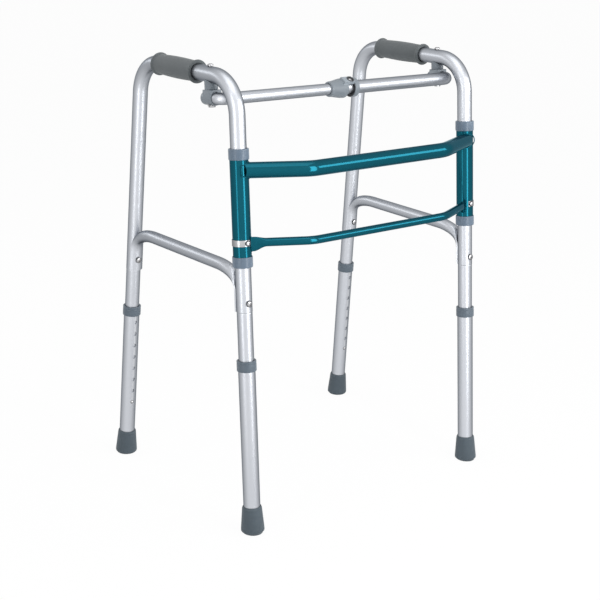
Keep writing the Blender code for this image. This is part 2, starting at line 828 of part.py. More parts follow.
def lower_bar_rings(radius, flatten):
    """Sections of the lower bar, pressed tall and thin near its ends if flatten is set."""
    path = bowed_path(LOWER_BAR_Z)
    start = path[0]
    toward = (path[1] - start).normalized()
    lead = [start + toward * (SLEEVE_R + LOWER_BAR_FLAT_LENGTH * share) for share in (0.35, 0.55, 0.75, 1.0)]
    mirrored = [Vector((-point.x, point.y, point.z)) for point in lead[::-1]]
    points = [start] + lead + path[1:-1] + mirrored + [path[-1]]
    if not flatten:
        points = lead[-1:] + path[1:-1] + mirrored[:1]
    rings = []
    for point, tangent in zip(points, path_tangents(points)):
        reach = min((point - path[0]).length, (point - path[-1]).length) - SLEEVE_R
        share = min(max(reach / LOWER_BAR_FLAT_LENGTH, 0.0), 1.0)
        weight = 0.5 + 0.5 * math.cos(math.pi * share) if flatten else 0.0
        tall = radius + (LOWER_BAR_FLAT_H - radius) * weight
        thick = radius + (LOWER_BAR_FLAT_T - radius) * weight
        across = tangent.cross(Vector((0.0, 0.0, 1.0))).normalized()
        drop = LOWER_BAR_FLAT_DROP * weight
        ring = []
        for angle in ring_angles(SMALL_SIDES):
            height = tall * math.sin(angle) - drop
            ring.append(point + across * (thick * math.cos(angle)) + Vector((0.0, 0.0, height)))
        rings.append(ring)
    return rings


def lower_bar():
    name = "lower_cross_bar"
    obj = add_object(name, loft_mesh(name, lower_bar_rings(LOWER_BAR_R, True)), TEAL)
    bore = loft_mesh(name + "_bore", lower_bar_rings(LOWER_BAR_R - LOWER_BAR_WALL, False))
    cut(obj, tool(name + "_bore", bore))
    middle = Vector((0.0, leg_point("left", "front", LOWER_BAR_Z).y - BAR_BOW, LOWER_BAR_Z))
    drill(obj, middle, Vector((0.0, 0.0, -1.0)), DRAIN_R, 0.0, 2 * LOWER_BAR_R)
    cut_at_sleeves(obj)
    return obj


# Top bar, built in its own frame

def bar_matrix(x=0.0, y=0.0, z=0.0):
    return bar_frame() @ Matrix.Translation((x, y, z))


def along_bar(x, y):
    """Frame in which a turned piece's axis runs along the top bar."""
    turn = Matrix.Rotation(math.pi / 2, 4, "Y")
    return bar_matrix(x, y) @ turn


def release_matrix():
    """Frame of the release button: X along the bar, Z up and leaning forward."""
    return bar_matrix(JOINT_X, -TOP_BAR_FORWARD) @ Matrix.Rotation(RELEASE_TILT, 4, "X")


def drill_release(obj, radius, low, high, sides=HOLE_SIDES):
    matrix = release_matrix()
    drill(obj, matrix.translation, matrix.col[2].to_3d(), radius, low, high, sides)


def top_bar_tube(side):
    sign = SIDES[side]
    if side == "left":
        inner_x = JOINT_X - JOINT_GAP - HOUSING_FLOOR - GAP
    else:
        inner_x = JOINT_X - JOINT_GAP + 3 * GAP
    corners = [Vector((inner_x, -TOP_BAR_FORWARD, 0.0)),
               Vector((sign * HALF_WIDTH, -TOP_BAR_FORWARD, 0.0)),
               Vector((sign * HALF_WIDTH, TOP_BAR_TAIL, 0.0))]
    path = [bar_frame() @ point for point in bent_path(corners, (TOP_BAR_BEND,), BEND_STEPS)]
    radius = TOP_BAR_RADII[side]
    obj = hollow_tube(side + "_bar_tube", path, radius, TOP_BAR_WALL, ALUMINIUM)
    reach = 2 * radius
    drill(obj, pivot_point(side), UP, BOLT_R + GAP, -reach, reach)
    if side == "right":
        drill_release(obj, RELEASE_STEM_R + 2 * GAP, 0.0, reach)
    return obj


def end_cap(side):
    """Moulded cap on the bent end of the top bar, with a flat pad under the spacer."""
    inner = TOP_BAR_RADII[side] + GAP
    outer = cap_radius(side)
    dome = outer * 0.55
    floor = TOP_BAR_TAIL + GAP
    profile = [(inner, -CAP_FRONT), (outer, -CAP_FRONT), (outer, CAP_REAR - dome)]
    for step in range(1, 4):
        angle = step * math.pi / 8
        profile.append((outer * math.cos(angle), CAP_REAR - dome + dome * math.sin(angle)))
    profile += [(0.0, CAP_REAR), (0.0, floor), (inner, floor)]
    name = side + "_bar_cap"
    place = bar_matrix(SIDES[side] * HALF_WIDTH)
    along = place @ Matrix.Rotation(-math.pi / 2, 4, "X")
    obj = turned(name, profile, GREY_PLASTIC, along)
    pad_front = PAD_INSET - CAP_FRONT
    pad_rear = CAP_REAR - PAD_HALF
    pad = box_mesh(name + "_pad", (-PAD_HALF, pad_front, 0.0), (PAD_HALF, pad_rear, cap_top(side)))
    join(obj, tool(name + "_pad", pad, place))
    hollow = rod_mesh(name + "_seat", inner, -CAP_FRONT * 2, floor, TUBE_SIDES)
    cut(obj, tool(name + "_seat", hollow, along))
    drill(obj, pivot_point(side), UP, BOLT_R + GAP, -2 * outer, 2 * outer)
    return obj


def cap_radius(side):
    return TOP_BAR_RADII[side] + GAP + CAP_WALL


def cap_top(side):
    """Height of the cap's pad over the top bar's centre line."""
    return cap_radius(side) + PAD_RISE


def handle_rise():
    """Height of the handle's centre line over the top bar, along the pivot bolt."""
    return (HANDLE_Z - TOP_BAR_Z) / UP.z


def pivot_spacer(side):
    """Plastic spacer between the handle and the top bar's cap, hollowed to fit the handle."""
    low = cap_top(side) + GAP
    high = handle_rise()
    profile = ring_profile(BOLT_R + GAP, SPACER_R, low, high)
    name = side + "_spacer"
    obj = turned(name, profile, GREY_PLASTIC, bar_matrix(SIDES[side] * HALF_WIDTH))
    reach = 2 * SPACER_R
    handle = rod_mesh(name + "_handle", TUBE_R + GAP, -reach, reach, 2 * TUBE_SIDES)
    origin = Vector((SIDES[side] * HALF_WIDTH, pivot_point(side).y, HANDLE_Z))
    cut(obj, tool(name + "_handle", handle, frame_matrix(origin, Vector((0.0, 1.0, 0.0)), X_AXIS)))
    return obj


def pivot_bolt(side):
    """Bolt through the handle. The left one carries the top bar; the right one ends in the spacer."""
    seat = handle_rise() + TUBE_R / UP.z + BOLT_HEAD_R * FRONT_LEAN + GAP
    end = -cap_radius(side) - GAP - WASHER_H - NUT_H - BOLT_END
    if side == "right":
        end = cap_top(side) + GAP
    top = seat + BOLT_HEAD_H
    profile = [(0.0, end), (BOLT_R, end), (BOLT_R, seat), (BOLT_HEAD_R, seat),
               (BOLT_HEAD_R, seat + 0.4 * BOLT_HEAD_H), (0.7 * BOLT_HEAD_R, seat + 0.85 * BOLT_HEAD_H),
               (0.0, top)]
    matrix = bar_matrix(SIDES[side] * HALF_WIDTH)
    return turned(side + "_pivot_bolt", profile, STEEL, matrix, SMALL_SIDES)


def pivot_nut(side):
    """Flanged nut under the cap; the right one also has the stud that stays in its cap."""
    top = -cap_radius(side) - GAP
    shoulder = top - WASHER_H
    low = shoulder - NUT_H
    name = side + "_pivot_nut"
    matrix = bar_matrix(SIDES[side] * HALF_WIDTH)
    flange = rod_mesh(name, WASHER_R, shoulder, top, SMALL_SIDES)
    obj = add_object(name, flange, STEEL, matrix)
    join(obj, tool(name + "_hexagon", rod_mesh(name + "_hexagon", NUT_R, low, shoulder + WASHER_H / 2, 6), matrix))
    if side == "left":
        drill(obj, pivot_point(side), UP, BOLT_R + GAP, 2 * low, 0.0)
    else:
        stud = rod_mesh(name + "_stud", BOLT_R, low - BOLT_END, cap_radius(side) - GAP, SMALL_SIDES)
        join(obj, tool(name + "_stud", stud, matrix))
    return obj


def hinge_y():
    """Depth of the hinge pin behind the pivots' line, in the top bar's frame."""
    return JOINT_BACK - TOP_BAR_FORWARD


def ear_box(name, x_from, x_to, low, high):
    """Plate from a joint piece to the hinge pin."""
    y_near = hinge_y() - EAR_R
    y_far = hinge_y() + EAR_R
    mesh = box_mesh(name, (min(x_from, x_to), y_near, low), (max(x_from, x_to), y_far, high))
    return tool(name, mesh, bar_matrix())


def ear_round(name, low, high):
    return tool(name, rod_mesh(name, EAR_R, low, high, SMALL_SIDES), bar_matrix(JOINT_X, hinge_y()))


def drill_hinge(obj, radius):
    drill(obj, bar_frame() @ Vector((JOINT_X, hinge_y(), 0.0)), UP, radius, -2 * EAR_TOP, 2 * EAR_TOP)


def tab_floor():
    """Height of the underside of the joint's tab over the top bar's centre line."""
    return TOP_BAR_RADII["right"] + 3 * GAP


def joint_housing():
    """Bell-shaped housing on the left half of the top bar, with a tab over the joint."""
    right = JOINT_X - JOINT_GAP
    left = right - HOUSING_LENGTH
    inner = TOP_BAR_RADII["left"] + GAP
    seat = right - HOUSING_FLOOR
    flare = HOUSING_R - HOUSING_THIN_R
    profile = [(inner, left), (HOUSING_THIN_R - HOUSING_EDGE, left), (HOUSING_THIN_R, left + HOUSING_BEVEL),
               (HOUSING_THIN_R + 0.26 * flare, left + 0.35 * HOUSING_LENGTH),
               (HOUSING_R - 0.21 * flare, left + 0.75 * HOUSING_LENGTH), (HOUSING_R, right - HOUSING_BEVEL),
               (HOUSING_R - HOUSING_EDGE, right), (0.0, right), (0.0, seat), (inner, seat)]
    name = "joint_housing"
    obj = turned(name, profile, GREY_PLASTIC, along_bar(0.0, -TOP_BAR_FORWARD))
    tab_low = tab_floor()
    tab = box_mesh(name + "_tab", (-JOINT_GAP - TAB_BACK, -TAB_HALF, tab_low),
                   (JOINT_GAP - 2 * GAP, TAB_HALF, tab_low + TAB_T))
    join(obj, tool(name + "_tab", tab, release_matrix()))
    for label, low, high in (("upper", LUG_HALF + GAP, EAR_TOP), ("lower", -EAR_TOP, -LUG_HALF - GAP)):
        join(obj, ear_box(name + "_" + label + "_ear", right - HOUSING_FLOOR, JOINT_X, low, high))
        join(obj, ear_round(name + "_" + label + "_eye", low, high))
    drill_hinge(obj, HINGE_PIN_R + GAP)
    drill_release(obj, RELEASE_STEM_R + GAP, 0.0, tab_low + 2 * TAB_T)
    drill_release(obj, RELEASE_SOCKET_R, tab_low + SOCKET_FLOOR, tab_low + 2 * TAB_T, SMALL_SIDES)
    return obj


def joint_collar():
    """Collar on the right half of the top bar, with the lug that turns on the hinge pin."""
    left = JOINT_X + JOINT_GAP
    right = left + JOINT_COLLAR_L
    bore = TOP_BAR_RADII["right"] + GAP
    profile = [(bore, left), (HOUSING_R - HOUSING_EDGE, left), (HOUSING_R, left + HOUSING_EDGE),
               (HOUSING_R, right - HOUSING_BEVEL), (HOUSING_R - HOUSING_BEVEL, right), (bore, right)]
    name = "joint_collar"
    obj = turned(name, profile, GREY_PLASTIC, along_bar(0.0, -TOP_BAR_FORWARD))
    join(obj, ear_box(name + "_lug", JOINT_X, left + JOINT_COLLAR_L / 2, -LUG_HALF, LUG_HALF))
    join(obj, ear_round(name + "_eye", -LUG_HALF, LUG_HALF))
    drill_hinge(obj, HINGE_PIN_R + GAP)
    return obj


def hinge_pin():
    matrix = bar_matrix(JOINT_X, hinge_y())
    end = EAR_TOP + GAP
    rim = end + 0.67 * HINGE_HEAD_H
    top = end + HINGE_HEAD_H
    profile = [(0.0, -top), (HINGE_HEAD_R, -rim), (HINGE_HEAD_R, -end), (HINGE_PIN_R, -end),
               (HINGE_PIN_R, end), (HINGE_HEAD_R, end), (HINGE_HEAD_R, rim), (0.0, top)]
    return turned("hinge_pin", profile, STEEL, matrix, SMALL_SIDES)


def release_button():
    """Domed button in the joint's tab; its stem drops into the right tube to lock the bar."""
    seat = tab_floor() + SOCKET_FLOOR + RELEASE_TRAVEL + GAP
    stem = TOP_BAR_RADII["right"] + 2 * GAP
    profile = [(0.0, stem), (RELEASE_STEM_R, stem), (RELEASE_STEM_R, seat), (RELEASE_R, seat),
               (RELEASE_R, seat + 0.4 * RELEASE_PROUD), (0.7 * RELEASE_R, seat + 0.85 * RELEASE_PROUD),
               (0.0, seat + RELEASE_PROUD)]
    return turned("release_button", profile, STEEL, release_matrix(), SMALL_SIDES)


def build_side(side):
    """The pieces of one side frame, on the empties of its joints."""
    step_axis = axis_empty(side + "_step_axis", sleeve_frame(side))
    fold_axis = axis_empty(side + "_fold_axis", sleeve_frame(side), step_axis)
    for level in ("lower", "upper"):
        attach(sleeve_collar(side, level), step_axis)
    for make in (side_frame_tube, side_brace, hand_grip, pivot_spacer):
        attach(make(side), fold_axis)
    for end in ("front", "rear"):
        attach(inner_leg(side, end), fold_axis)
        attach(brace_screw(side, end), fold_axis)
        attach(snap_button(side, end), fold_axis)
        leg = lower_leg(side, end)
        attach(leg, fold_axis)
        attach(leg_collar(side, end), leg)
        attach(rubber_tip(side, end), leg)
    return fold_axis


def build_front():
    for side in SIDES:
        front_sleeve(side)
        lock_strap(side)
        lock_pin(side)
    upper_bar()
    lower_bar()


def build_top_bar(left_fold, right_fold):
    """The top bar hangs from the left handle; its right end only meets the right spacer."""
    left_end = bar_matrix(-HALF_WIDTH)
    pivot_axis = axis_empty("left_pivot_axis", left_end, left_fold)
    attach(pivot_bolt("left"), pivot_axis)
    attach(pivot_nut("left"), pivot_axis)
    attach(pivot_bolt("right"), right_fold)
    bar_axis = axis_empty("left_bar_axis", left_end, pivot_axis)
    for piece in (top_bar_tube("left"), end_cap("left"), joint_housing(), hinge_pin(), release_button()):
        attach(piece, bar_axis)
    hinge_axis = axis_empty("bar_hinge_axis", bar_matrix(JOINT_X, hinge_y()), bar_axis)
    for piece in (top_bar_tube("right"), end_cap("right"), joint_collar(), pivot_nut("right")):
        attach(piece, hinge_axis)


left_carrier = build_side("left")
right_carrier = build_side("right")
build_front()
build_top_bar(left_carrier, right_carrier)
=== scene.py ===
import json
import math

import bmesh
import bpy
from mathutils import Matrix, Vector


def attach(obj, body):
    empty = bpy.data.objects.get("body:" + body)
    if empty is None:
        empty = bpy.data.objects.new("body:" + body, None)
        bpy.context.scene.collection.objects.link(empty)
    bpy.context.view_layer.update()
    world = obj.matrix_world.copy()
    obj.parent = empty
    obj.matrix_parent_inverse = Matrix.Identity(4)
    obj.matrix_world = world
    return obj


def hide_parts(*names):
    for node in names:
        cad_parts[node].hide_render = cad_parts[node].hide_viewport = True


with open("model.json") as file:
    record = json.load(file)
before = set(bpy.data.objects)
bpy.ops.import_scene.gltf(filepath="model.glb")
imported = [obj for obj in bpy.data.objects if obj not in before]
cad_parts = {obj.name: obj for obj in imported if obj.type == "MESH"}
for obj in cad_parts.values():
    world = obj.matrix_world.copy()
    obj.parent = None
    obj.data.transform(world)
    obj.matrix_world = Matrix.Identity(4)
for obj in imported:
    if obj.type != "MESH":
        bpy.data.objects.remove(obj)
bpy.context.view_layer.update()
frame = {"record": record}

# Sizes of the walking frame, in metres, as in the model that it dresses; only the
# pressed ends of the lower bar differ a little
GAP = 0.0003
HANDLE_Z = 0.7534
HALF_WIDTH = 0.2517
FRONT_FOOT_Y = -0.19975
REAR_FOOT_Y = 0.19975
FRONT_LEAN = 0.0823
REAR_LEAN = 0.071
REAR_SPLAY = 0.0108

# Side frames: bent tube and inner legs
TUBE_R = 0.0132
TUBE_WALL = 0.0013
FRONT_BEND = 0.062
REAR_BEND = 0.060
SEAM_Z = {"front": 0.380, "rear": 0.371}
SCREW_Z = {"front": 0.395, "rear": 0.391}
INNER_R = 0.0129
INNER_WALL = 0.0012
INNER_END_Z = 0.085
NECK_LENGTH = 0.055

# Lower legs
LOWER_WALL = 0.0011
LOWER_R = INNER_R + GAP + LOWER_WALL
LOWER_TOP_Z = 0.2969
HOLE_COUNT = 8
HOLE_PITCH = 0.023
FIRST_HOLE_Z = 0.108
SNAP_R = 0.0032
SNAP_PROUD = 0.0022
SNAP_FLANGE = 0.0012
SNAP_DOME = 0.7
LEG_COLLAR_R = 0.0164
LEG_COLLAR_TOP = 0.2985
LEG_COLLAR_H = 0.0178
LEG_COLLAR_EDGE = 0.0012
GROOVE_DROP = 0.0052
GROOVE_DEPTH = 0.0005
GROOVE_FLOOR = 0.0006
TIP_R = 0.0199
TIP_TOP_R = 0.0167
TIP_H = 0.046
TIP_FLOOR = 0.0083
TIP_EDGE = 0.003
TIP_SOFT = 0.0009
TREAD_RINGS = 3
TREAD_INNER = 0.004
TREAD_PITCH = 0.0045
TREAD_W = 0.0016
TREAD_DEPTH = 0.0012

# Braces and their screws
BRACE_Z = 0.4440
BRACE_R = 0.0107
BRACE_WALL = 0.0012
BRACE_BEND_LENGTH = 0.053
BRACE_OUTER_DROP = 0.026
BRACE_INNER_DROP = 0.029
DRAIN_R = 0.0015
BRACE_SPREAD = math.radians(60)
BRACE_FLAT_SHARES = (0.0, 0.02, 0.35, 0.7)
SCREW_R = 0.0021
SCREW_HEAD_R = 0.0047
SCREW_HEAD_H = 0.0026
SCREW_SEAT = 0.0008
SCREW_TAIL = 0.0025

# Grips
GRIP_FRONT_Y = -0.031
GRIP_LENGTH = 0.118
GRIP_R = 0.0168
GRIP_SWELL = 0.0014
GRIP_FLANGE_R = 0.0196
GRIP_FLANGE_W = 0.0045
GRIP_LIP = 0.0016
GRIP_CHAMFER = 0.0012

# Front frame: sleeves, collars, bars and locks
SLEEVE_WALL = 0.0015
SLEEVE_R = 0.0153
SLEEVE_LOW_Z = 0.4628
SLEEVE_HIGH_Z = 0.6368
COLLAR_H = 0.0175
COLLAR_R = 0.0167
COLLAR_END = 0.006
COLLAR_EDGE = 0.0018
TURN_GAP = 0.0004
UPPER_BAR_Z = 0.6115
UPPER_BAR_R = 0.0131
UPPER_BAR_WALL = 0.0013
LOWER_BAR_Z = 0.4946
LOWER_BAR_R = 0.0070
LOWER_BAR_WALL = 0.0012
LOWER_BAR_FLAT_H = 0.0122
LOWER_BAR_FLAT_DROP = 0.0025
LOWER_BAR_FLAT_T = 0.0018
LOWER_BAR_FLAT_LENGTH = 0.022
FLAT_START = 0.05
BAR_BOW = 0.054
BAR_START = 0.006
BAR_BEND_X = 0.148
BAR_BEND = 0.060
WELD_R = 0.0011
WELD_PITCH = 0.0018
WELD_RIPPLE = 0.35
LOCK_Z = LOWER_BAR_Z
STRAP_T = 0.0007
STRAP_H = 0.0105
STRAP_REACH = 0.005
LOCK_PIN_R = 0.0022
LOCK_KNOB_R = 0.0040
LOCK_KNOB_H = 0.0026
KNOB_RIM = 0.35

# Top bar, its pivots and its joint
PIVOT_BACK = 0.070
TOP_BAR_Z = 0.7152
TOP_BAR_RADII = {"left": 0.010, "right": 0.0115}
TOP_BAR_WALL = 0.0012
TOP_BAR_FORWARD = 0.030
TOP_BAR_BEND = 0.016
TOP_BAR_TAIL = 0.012
CAP_WALL = 0.0010
CAP_FRONT = 0.0135
CAP_REAR = 0.021
CAP_DOME = 0.55
PAD_HALF = 0.0110
PAD_RISE = 0.0026
PAD_INSET = 0.0008
PAD_EDGE = 0.0008
SPACER_R = 0.0110
SPACER_EDGE = 0.0006
BOLT_R = 0.0030
BOLT_HEAD_R = 0.0050
BOLT_HEAD_H = 0.0035
BOLT_RIM = 0.3
SOCKET_R = 0.42 * BOLT_HEAD_R
SOCKET_EDGE = 0.00015
WASHER_R = 0.0074
WASHER_H = 0.0006
NUT_R = 0.0058
NUT_H = 0.0025
BOLT_END = 0.0004
JOINT_X = 0.0066
JOINT_BACK = 0.019
HINGE_Y = JOINT_BACK - TOP_BAR_FORWARD
JOINT_GAP = 0.0070
HOUSING_LENGTH = 0.034
HOUSING_R = 0.017
HOUSING_THIN_R = 0.0132
HOUSING_FLOOR = 0.007
HOUSING_EDGE = 0.001
HOUSING_BEVEL = 0.002
HOUSING_SOFT = 0.0007
FLARE_SHAPE = 0.9
JOINT_COLLAR_L = 0.0112
JOINT_COLLAR_EDGE = 0.0008
EAR_R = 0.005
EAR_TOP = 0.009
LUG_HALF = 0.003
HINGE_PIN_R = 0.0024
HINGE_HEAD_R = 0.0036
HINGE_HEAD_H = 0.0015
HINGE_RIM = 0.67
TAB_HALF = 0.0076
TAB_LOW = TOP_BAR_RADII["right"] + 3 * GAP
TAB_TOP = TAB_LOW + 0.0062
TAB_BACK = 0.010
TAB_EDGE = 0.0009
RELEASE_R = 0.0040
RELEASE_STEM_R = 0.0025
RELEASE_PROUD = 0.0034
RELEASE_TRAVEL = 0.0018
RELEASE_SOCKET_R = 0.0060
SOCKET_FLOOR = 0.0012
RELEASE_TILT = math.radians(36)
RING_W = 0.0009
SEAM_BEVEL = 0.0006

# Roundings that the pieces share, in metres, and how the meshes are made
FINE_EDGE = 0.0001
THIN_EDGE = 0.0002
SMALL_EDGE = 0.0003
EDGE = 0.0004
SHARP_ANGLE = math.radians(38)
BEVEL_ANGLE = math.radians(50)
LONG_WALL = 0.02
END_RING = 0.0008
CORNER_SHARE = 0.45
LIP_SHAPE = 0.8

# Numbers of sides and steps
ROUND = 48
SMALL_ROUND = 28
FINE_ROUND = 64
HEXAGON = 6
BEAD_SIDES = 10
EDGE_SEGMENTS = 2
CORNER_STEPS = 3
LIP_STEPS = 4
BEND_STEPS = 18
HANDLE_STEPS = 24
BRACE_STEPS = 18
BRACE_MIDDLE_STEPS = 12
FLANGE_STEPS = 6
GRIP_STEPS = 8
FLAT_STEPS = 14
KNOB_STEPS = 6
BUTTON_STEPS = 7
CAP_STEPS = 8
FLARE_STEPS = 13

# Studio
WORLD_LEVEL = 0.62
FLOOR_HALF = 60.0
FLOOR_COLOUR = (0.86, 0.86, 0.86, 1.0)
FLOOR_ROUGHNESS = 0.9
FLOOR_GLOSS = 0.1
WHITE = (1.0, 1.0, 1.0, 1.0)
FLOOR_LIFT = 0.95
CAMERA_PLACE = (-1.3817, -1.7373, 1.0222)
CAMERA_TURN = (-37.56, 15.08, 1.14)
SENSOR_MM = 36.0
LENS_MM = 75.14
LENS_SHIFT = (0.0278, -0.1)

UP = Vector((0.0, FRONT_LEAN, 1.0)).normalized()
X_AXIS = Vector((1.0, 0.0, 0.0))
Y_AXIS = Vector((0.0, 1.0, 0.0))
Z_AXIS = Vector((0.0, 0.0, 1.0))
SIDES = {"left": -1, "right": 1}
ENDS = ("front", "rear")

BODY_OF = {node: body for body, nodes in frame["record"]["behaviour"]["bodies"].items() for node in nodes}


# Places on the frame

def leg_axis(side, end):
    """Foot point on the floor and upward direction of one leg's centre line."""
    sign = SIDES[side]
    if end == "front":
        foot = Vector((sign * HALF_WIDTH, FRONT_FOOT_Y, 0.0))
        top = foot + Vector((0.0, FRONT_LEAN, 1.0)) * HANDLE_Z
    else:
        foot = Vector((sign * (HALF_WIDTH + REAR_SPLAY), REAR_FOOT_Y, 0.0))
        top = Vector((sign * HALF_WIDTH, REAR_FOOT_Y - REAR_LEAN * HANDLE_Z, HANDLE_Z))
    return foot, (top - foot).normalized()


def leg_point(side, end, z):
    """Point of a leg's centre line at a height."""
    foot, direction = leg_axis(side, end)
    return foot + direction * (z / direction.z)


def leg_matrix(side, end):
    """Frame on a leg's centre line, with its origin on the floor and Z up the leg."""
    foot, direction = leg_axis(side, end)
    return frame_matrix(foot, direction, X_AXIS)


def inward(end):
    """Direction from a leg towards the other leg of its side frame."""
    return Y_AXIS if end == "front" else -Y_AXIS


def square_to(direction, axis):
    """Part of a direction that is square to an axis."""
    return (direction - axis * direction.dot(axis)).normalized()


def frame_matrix(origin, z_axis, x_hint):
    """Matrix whose Z runs along z_axis and whose X lies towards x_hint."""
    z_axis = z_axis.normalized()
    x_axis = square_to(x_hint, z_axis)
    y_axis = z_axis.cross(x_axis)
    matrix = Matrix((x_axis, y_axis, z_axis)).transposed().to_4x4()
    matrix.translation = origin
    return matrix


def bar_matrix(x=0.0, y=0.0):
    """Frame of the top bar: X to the right, Z along the pivot bolts, origin between them."""
    pivot = leg_point("left", "front", TOP_BAR_Z)
    origin = Vector((0.0, pivot.y + PIVOT_BACK, TOP_BAR_Z))
    return frame_matrix(origin, UP, X_AXIS) @ Matrix.Translation((x, y, 0.0))


def pivot_matrix(side):
    """Frame of a pivot bolt, with Z up along it."""
    return bar_matrix(SIDES[side] * HALF_WIDTH)


def hinge_matrix():
    """Frame of the joint's hinge pin, behind the pivots' line."""
    return bar_matrix(JOINT_X, HINGE_Y)


def along_bar():
    """Frame in which a turned piece's axis runs along the top bar."""
    return bar_matrix(0.0, -TOP_BAR_FORWARD) @ Matrix.Rotation(math.pi / 2, 4, "Y")


def outward_of_holes(side, end):
    """From a leg's axis out through its height holes, towards the other leg."""
    return square_to(inward(end), leg_axis(side, end)[1])


def hole_matrix(side, end, z):
    """Frame on a leg's axis, with Z out through its holes."""
    return frame_matrix(leg_point(side, end, z), outward_of_holes(side, end), X_AXIS)


def forward_of(axis):
    """Forward direction, square to an axis."""
    return square_to(-Y_AXIS, axis)


# Paths and outlines

def bent_path(corners, radii, steps=BEND_STEPS):
    """Points of a path through the corners, each inner corner rounded to its radius."""
    points = [corners[0]]
    for before, corner, after, radius in zip(corners, corners[1:], corners[2:], radii):
        back = (before - corner).normalized()
        ahead = (after - corner).normalized()
        half = back.angle(ahead) / 2
        reach = radius / math.tan(half)
        centre = corner + (back + ahead).normalized() * (radius / math.sin(half))
        start = corner + back * reach - centre
        end = corner + ahead * reach - centre
        turn = start.angle(end)
        for step in range(steps + 1):
            share = step / steps
            point = start * math.sin((1 - share) * turn) + end * math.sin(share * turn)
            points.append(centre + point / math.sin(turn))
    points.append(corners[-1])
    return points


def path_tangents(points):
    """Direction of a path at each of its points."""
    tangents = []
    for i in range(len(points)):
        before = points[max(i - 1, 0)]
        after = points[min(i + 1, len(points) - 1)]
        tangents.append((after - before).normalized())
    return tangents


def with_end_rings(path):
    """Path with a point just inside each end, so that a lip doesn't bend the long wall's shading."""
    first = path[0] + (path[1] - path[0]).normalized() * END_RING
    last = path[-1] + (path[-2] - path[-1]).normalized() * END_RING
    return [path[0], first] + path[1:-1] + [last, path[-1]]


def eased(share):
    """Share that starts and ends slowly."""
    return 0.5 - 0.5 * math.cos(math.pi * share)


def dome(radius, rim, top, steps):
    """Outline points from just inside a rim, over a dome, to its top on the axis."""
    angles = [math.pi / 2 * step / steps for step in range(1, steps)]
    points = [(radius * math.cos(angle), rim + (top - rim) * math.sin(angle)) for angle in angles]
    return points + [(0.0, top)]


def ring_outline(inner, outer, low, high):
    """Outline of a plain ring with square edges."""
    return [(inner, low), (outer, low), (outer, high), (inner, high)]


def softened(outline, radius, closed):
    """Outline with its corners rounded; a corner on the axis stays sharp."""
    points = [Vector(point) for point in outline]
    count = len(points)
    result = []
    for i, point in enumerate(points):
        if point.x == 0.0 or (not closed and i in (0, count - 1)):
            result.append(point)
            continue
        before = points[i - 1] - point
        after = points[(i + 1) % count] - point
        start = point + before.normalized() * min(radius, before.length * CORNER_SHARE)
        end = point + after.normalized() * min(radius, after.length * CORNER_SHARE)
        if before.length > LONG_WALL:
            result.append(start + before.normalized() * END_RING)
        for step in range(CORNER_STEPS + 1):
            share = step / CORNER_STEPS
            result.append(start * (1 - share) ** 2 + point * 2 * share * (1 - share) + end * share ** 2)
        if after.length > LONG_WALL:
            result.append(end + after.normalized() * END_RING)
    return result


# Meshes

def smoothed(mesh):
    """Smooth shading, with sharp edges kept sharp."""
    mesh.shade_smooth()
    mesh.set_sharp_from_angle(angle=SHARP_ANGLE)
    return mesh


def mesh_of(work, name):
    """Mesh of finished mesh work, which is freed."""
    mesh = bpy.data.meshes.new(name)
    work.to_mesh(mesh)
    work.free()
    return mesh


def turns(sides=ROUND):
    """Angles of the points round a ring."""
    return [2 * math.pi * k / sides for k in range(sides)]


def circle_row(centre, axis, hint, radius):
    """Points of a ring square to an axis."""
    first = square_to(hint, axis)
    second = axis.cross(first)
    return [centre + first * (radius * math.cos(angle)) + second * (radius * math.sin(angle))
            for angle in turns()]


def add_faces(work, uv, low_row, high_row, low, high):
    """Faces between two rows of vertices, with V from low to high; a row may be one point."""
    count = max(len(low_row), len(high_row))
    for k in range(count):
        corners = []
        for row, index, height in ((low_row, k, low), (low_row, k + 1, low),
                                   (high_row, k + 1, high), (high_row, k, high)):
            vert = row[index % len(row)]
            if vert not in [corner[0] for corner in corners]:
                corners.append((vert, index / count, height))
        face = work.faces.new([corner[0] for corner in corners])
        for loop, corner in zip(face.loops, corners):
            loop[uv].uv = corner[1:]


def skin(name, rows, joined=False, capped=False):
    """Closed mesh through rows of points. UV map: U once around, V along in metres."""
    work = bmesh.new()
    uv = work.loops.layers.uv.new("surface")
    loops = [[work.verts.new(point) for point in row] for row in rows]
    if joined:
        rows = rows + rows[:1]
        loops.append(loops[0])
    along = 0.0
    for index in range(1, len(rows)):
        ahead = along + (rows[index][0] - rows[index - 1][0]).length
        add_faces(work, uv, loops[index - 1], loops[index], along, ahead)
        along = ahead
    if capped:
        for row in (loops[0], loops[-1]):
            face = work.faces.new(row)
            for loop in face.loops:
                loop[uv].uv = (loop.vert.co.x, loop.vert.co.y)
    bmesh.ops.recalc_face_normals(work, faces=work.faces)
    return smoothed(mesh_of(work, name))


def turned(name, outline, matrix, soft=EDGE, sides=ROUND):
    """Solid of revolution about the matrix's Z axis from (radius, height) points."""
    closed = outline[0][0] > 0.0
    rows = []
    for radius, height in softened(outline, soft, closed):
        if radius == 0.0:
            rows.append([matrix @ Vector((0.0, 0.0, height))])
        else:
            rows.append([matrix @ Vector((radius * math.cos(angle), radius * math.sin(angle), height))
                         for angle in turns(sides)])
    return skin(name, rows, joined=closed)


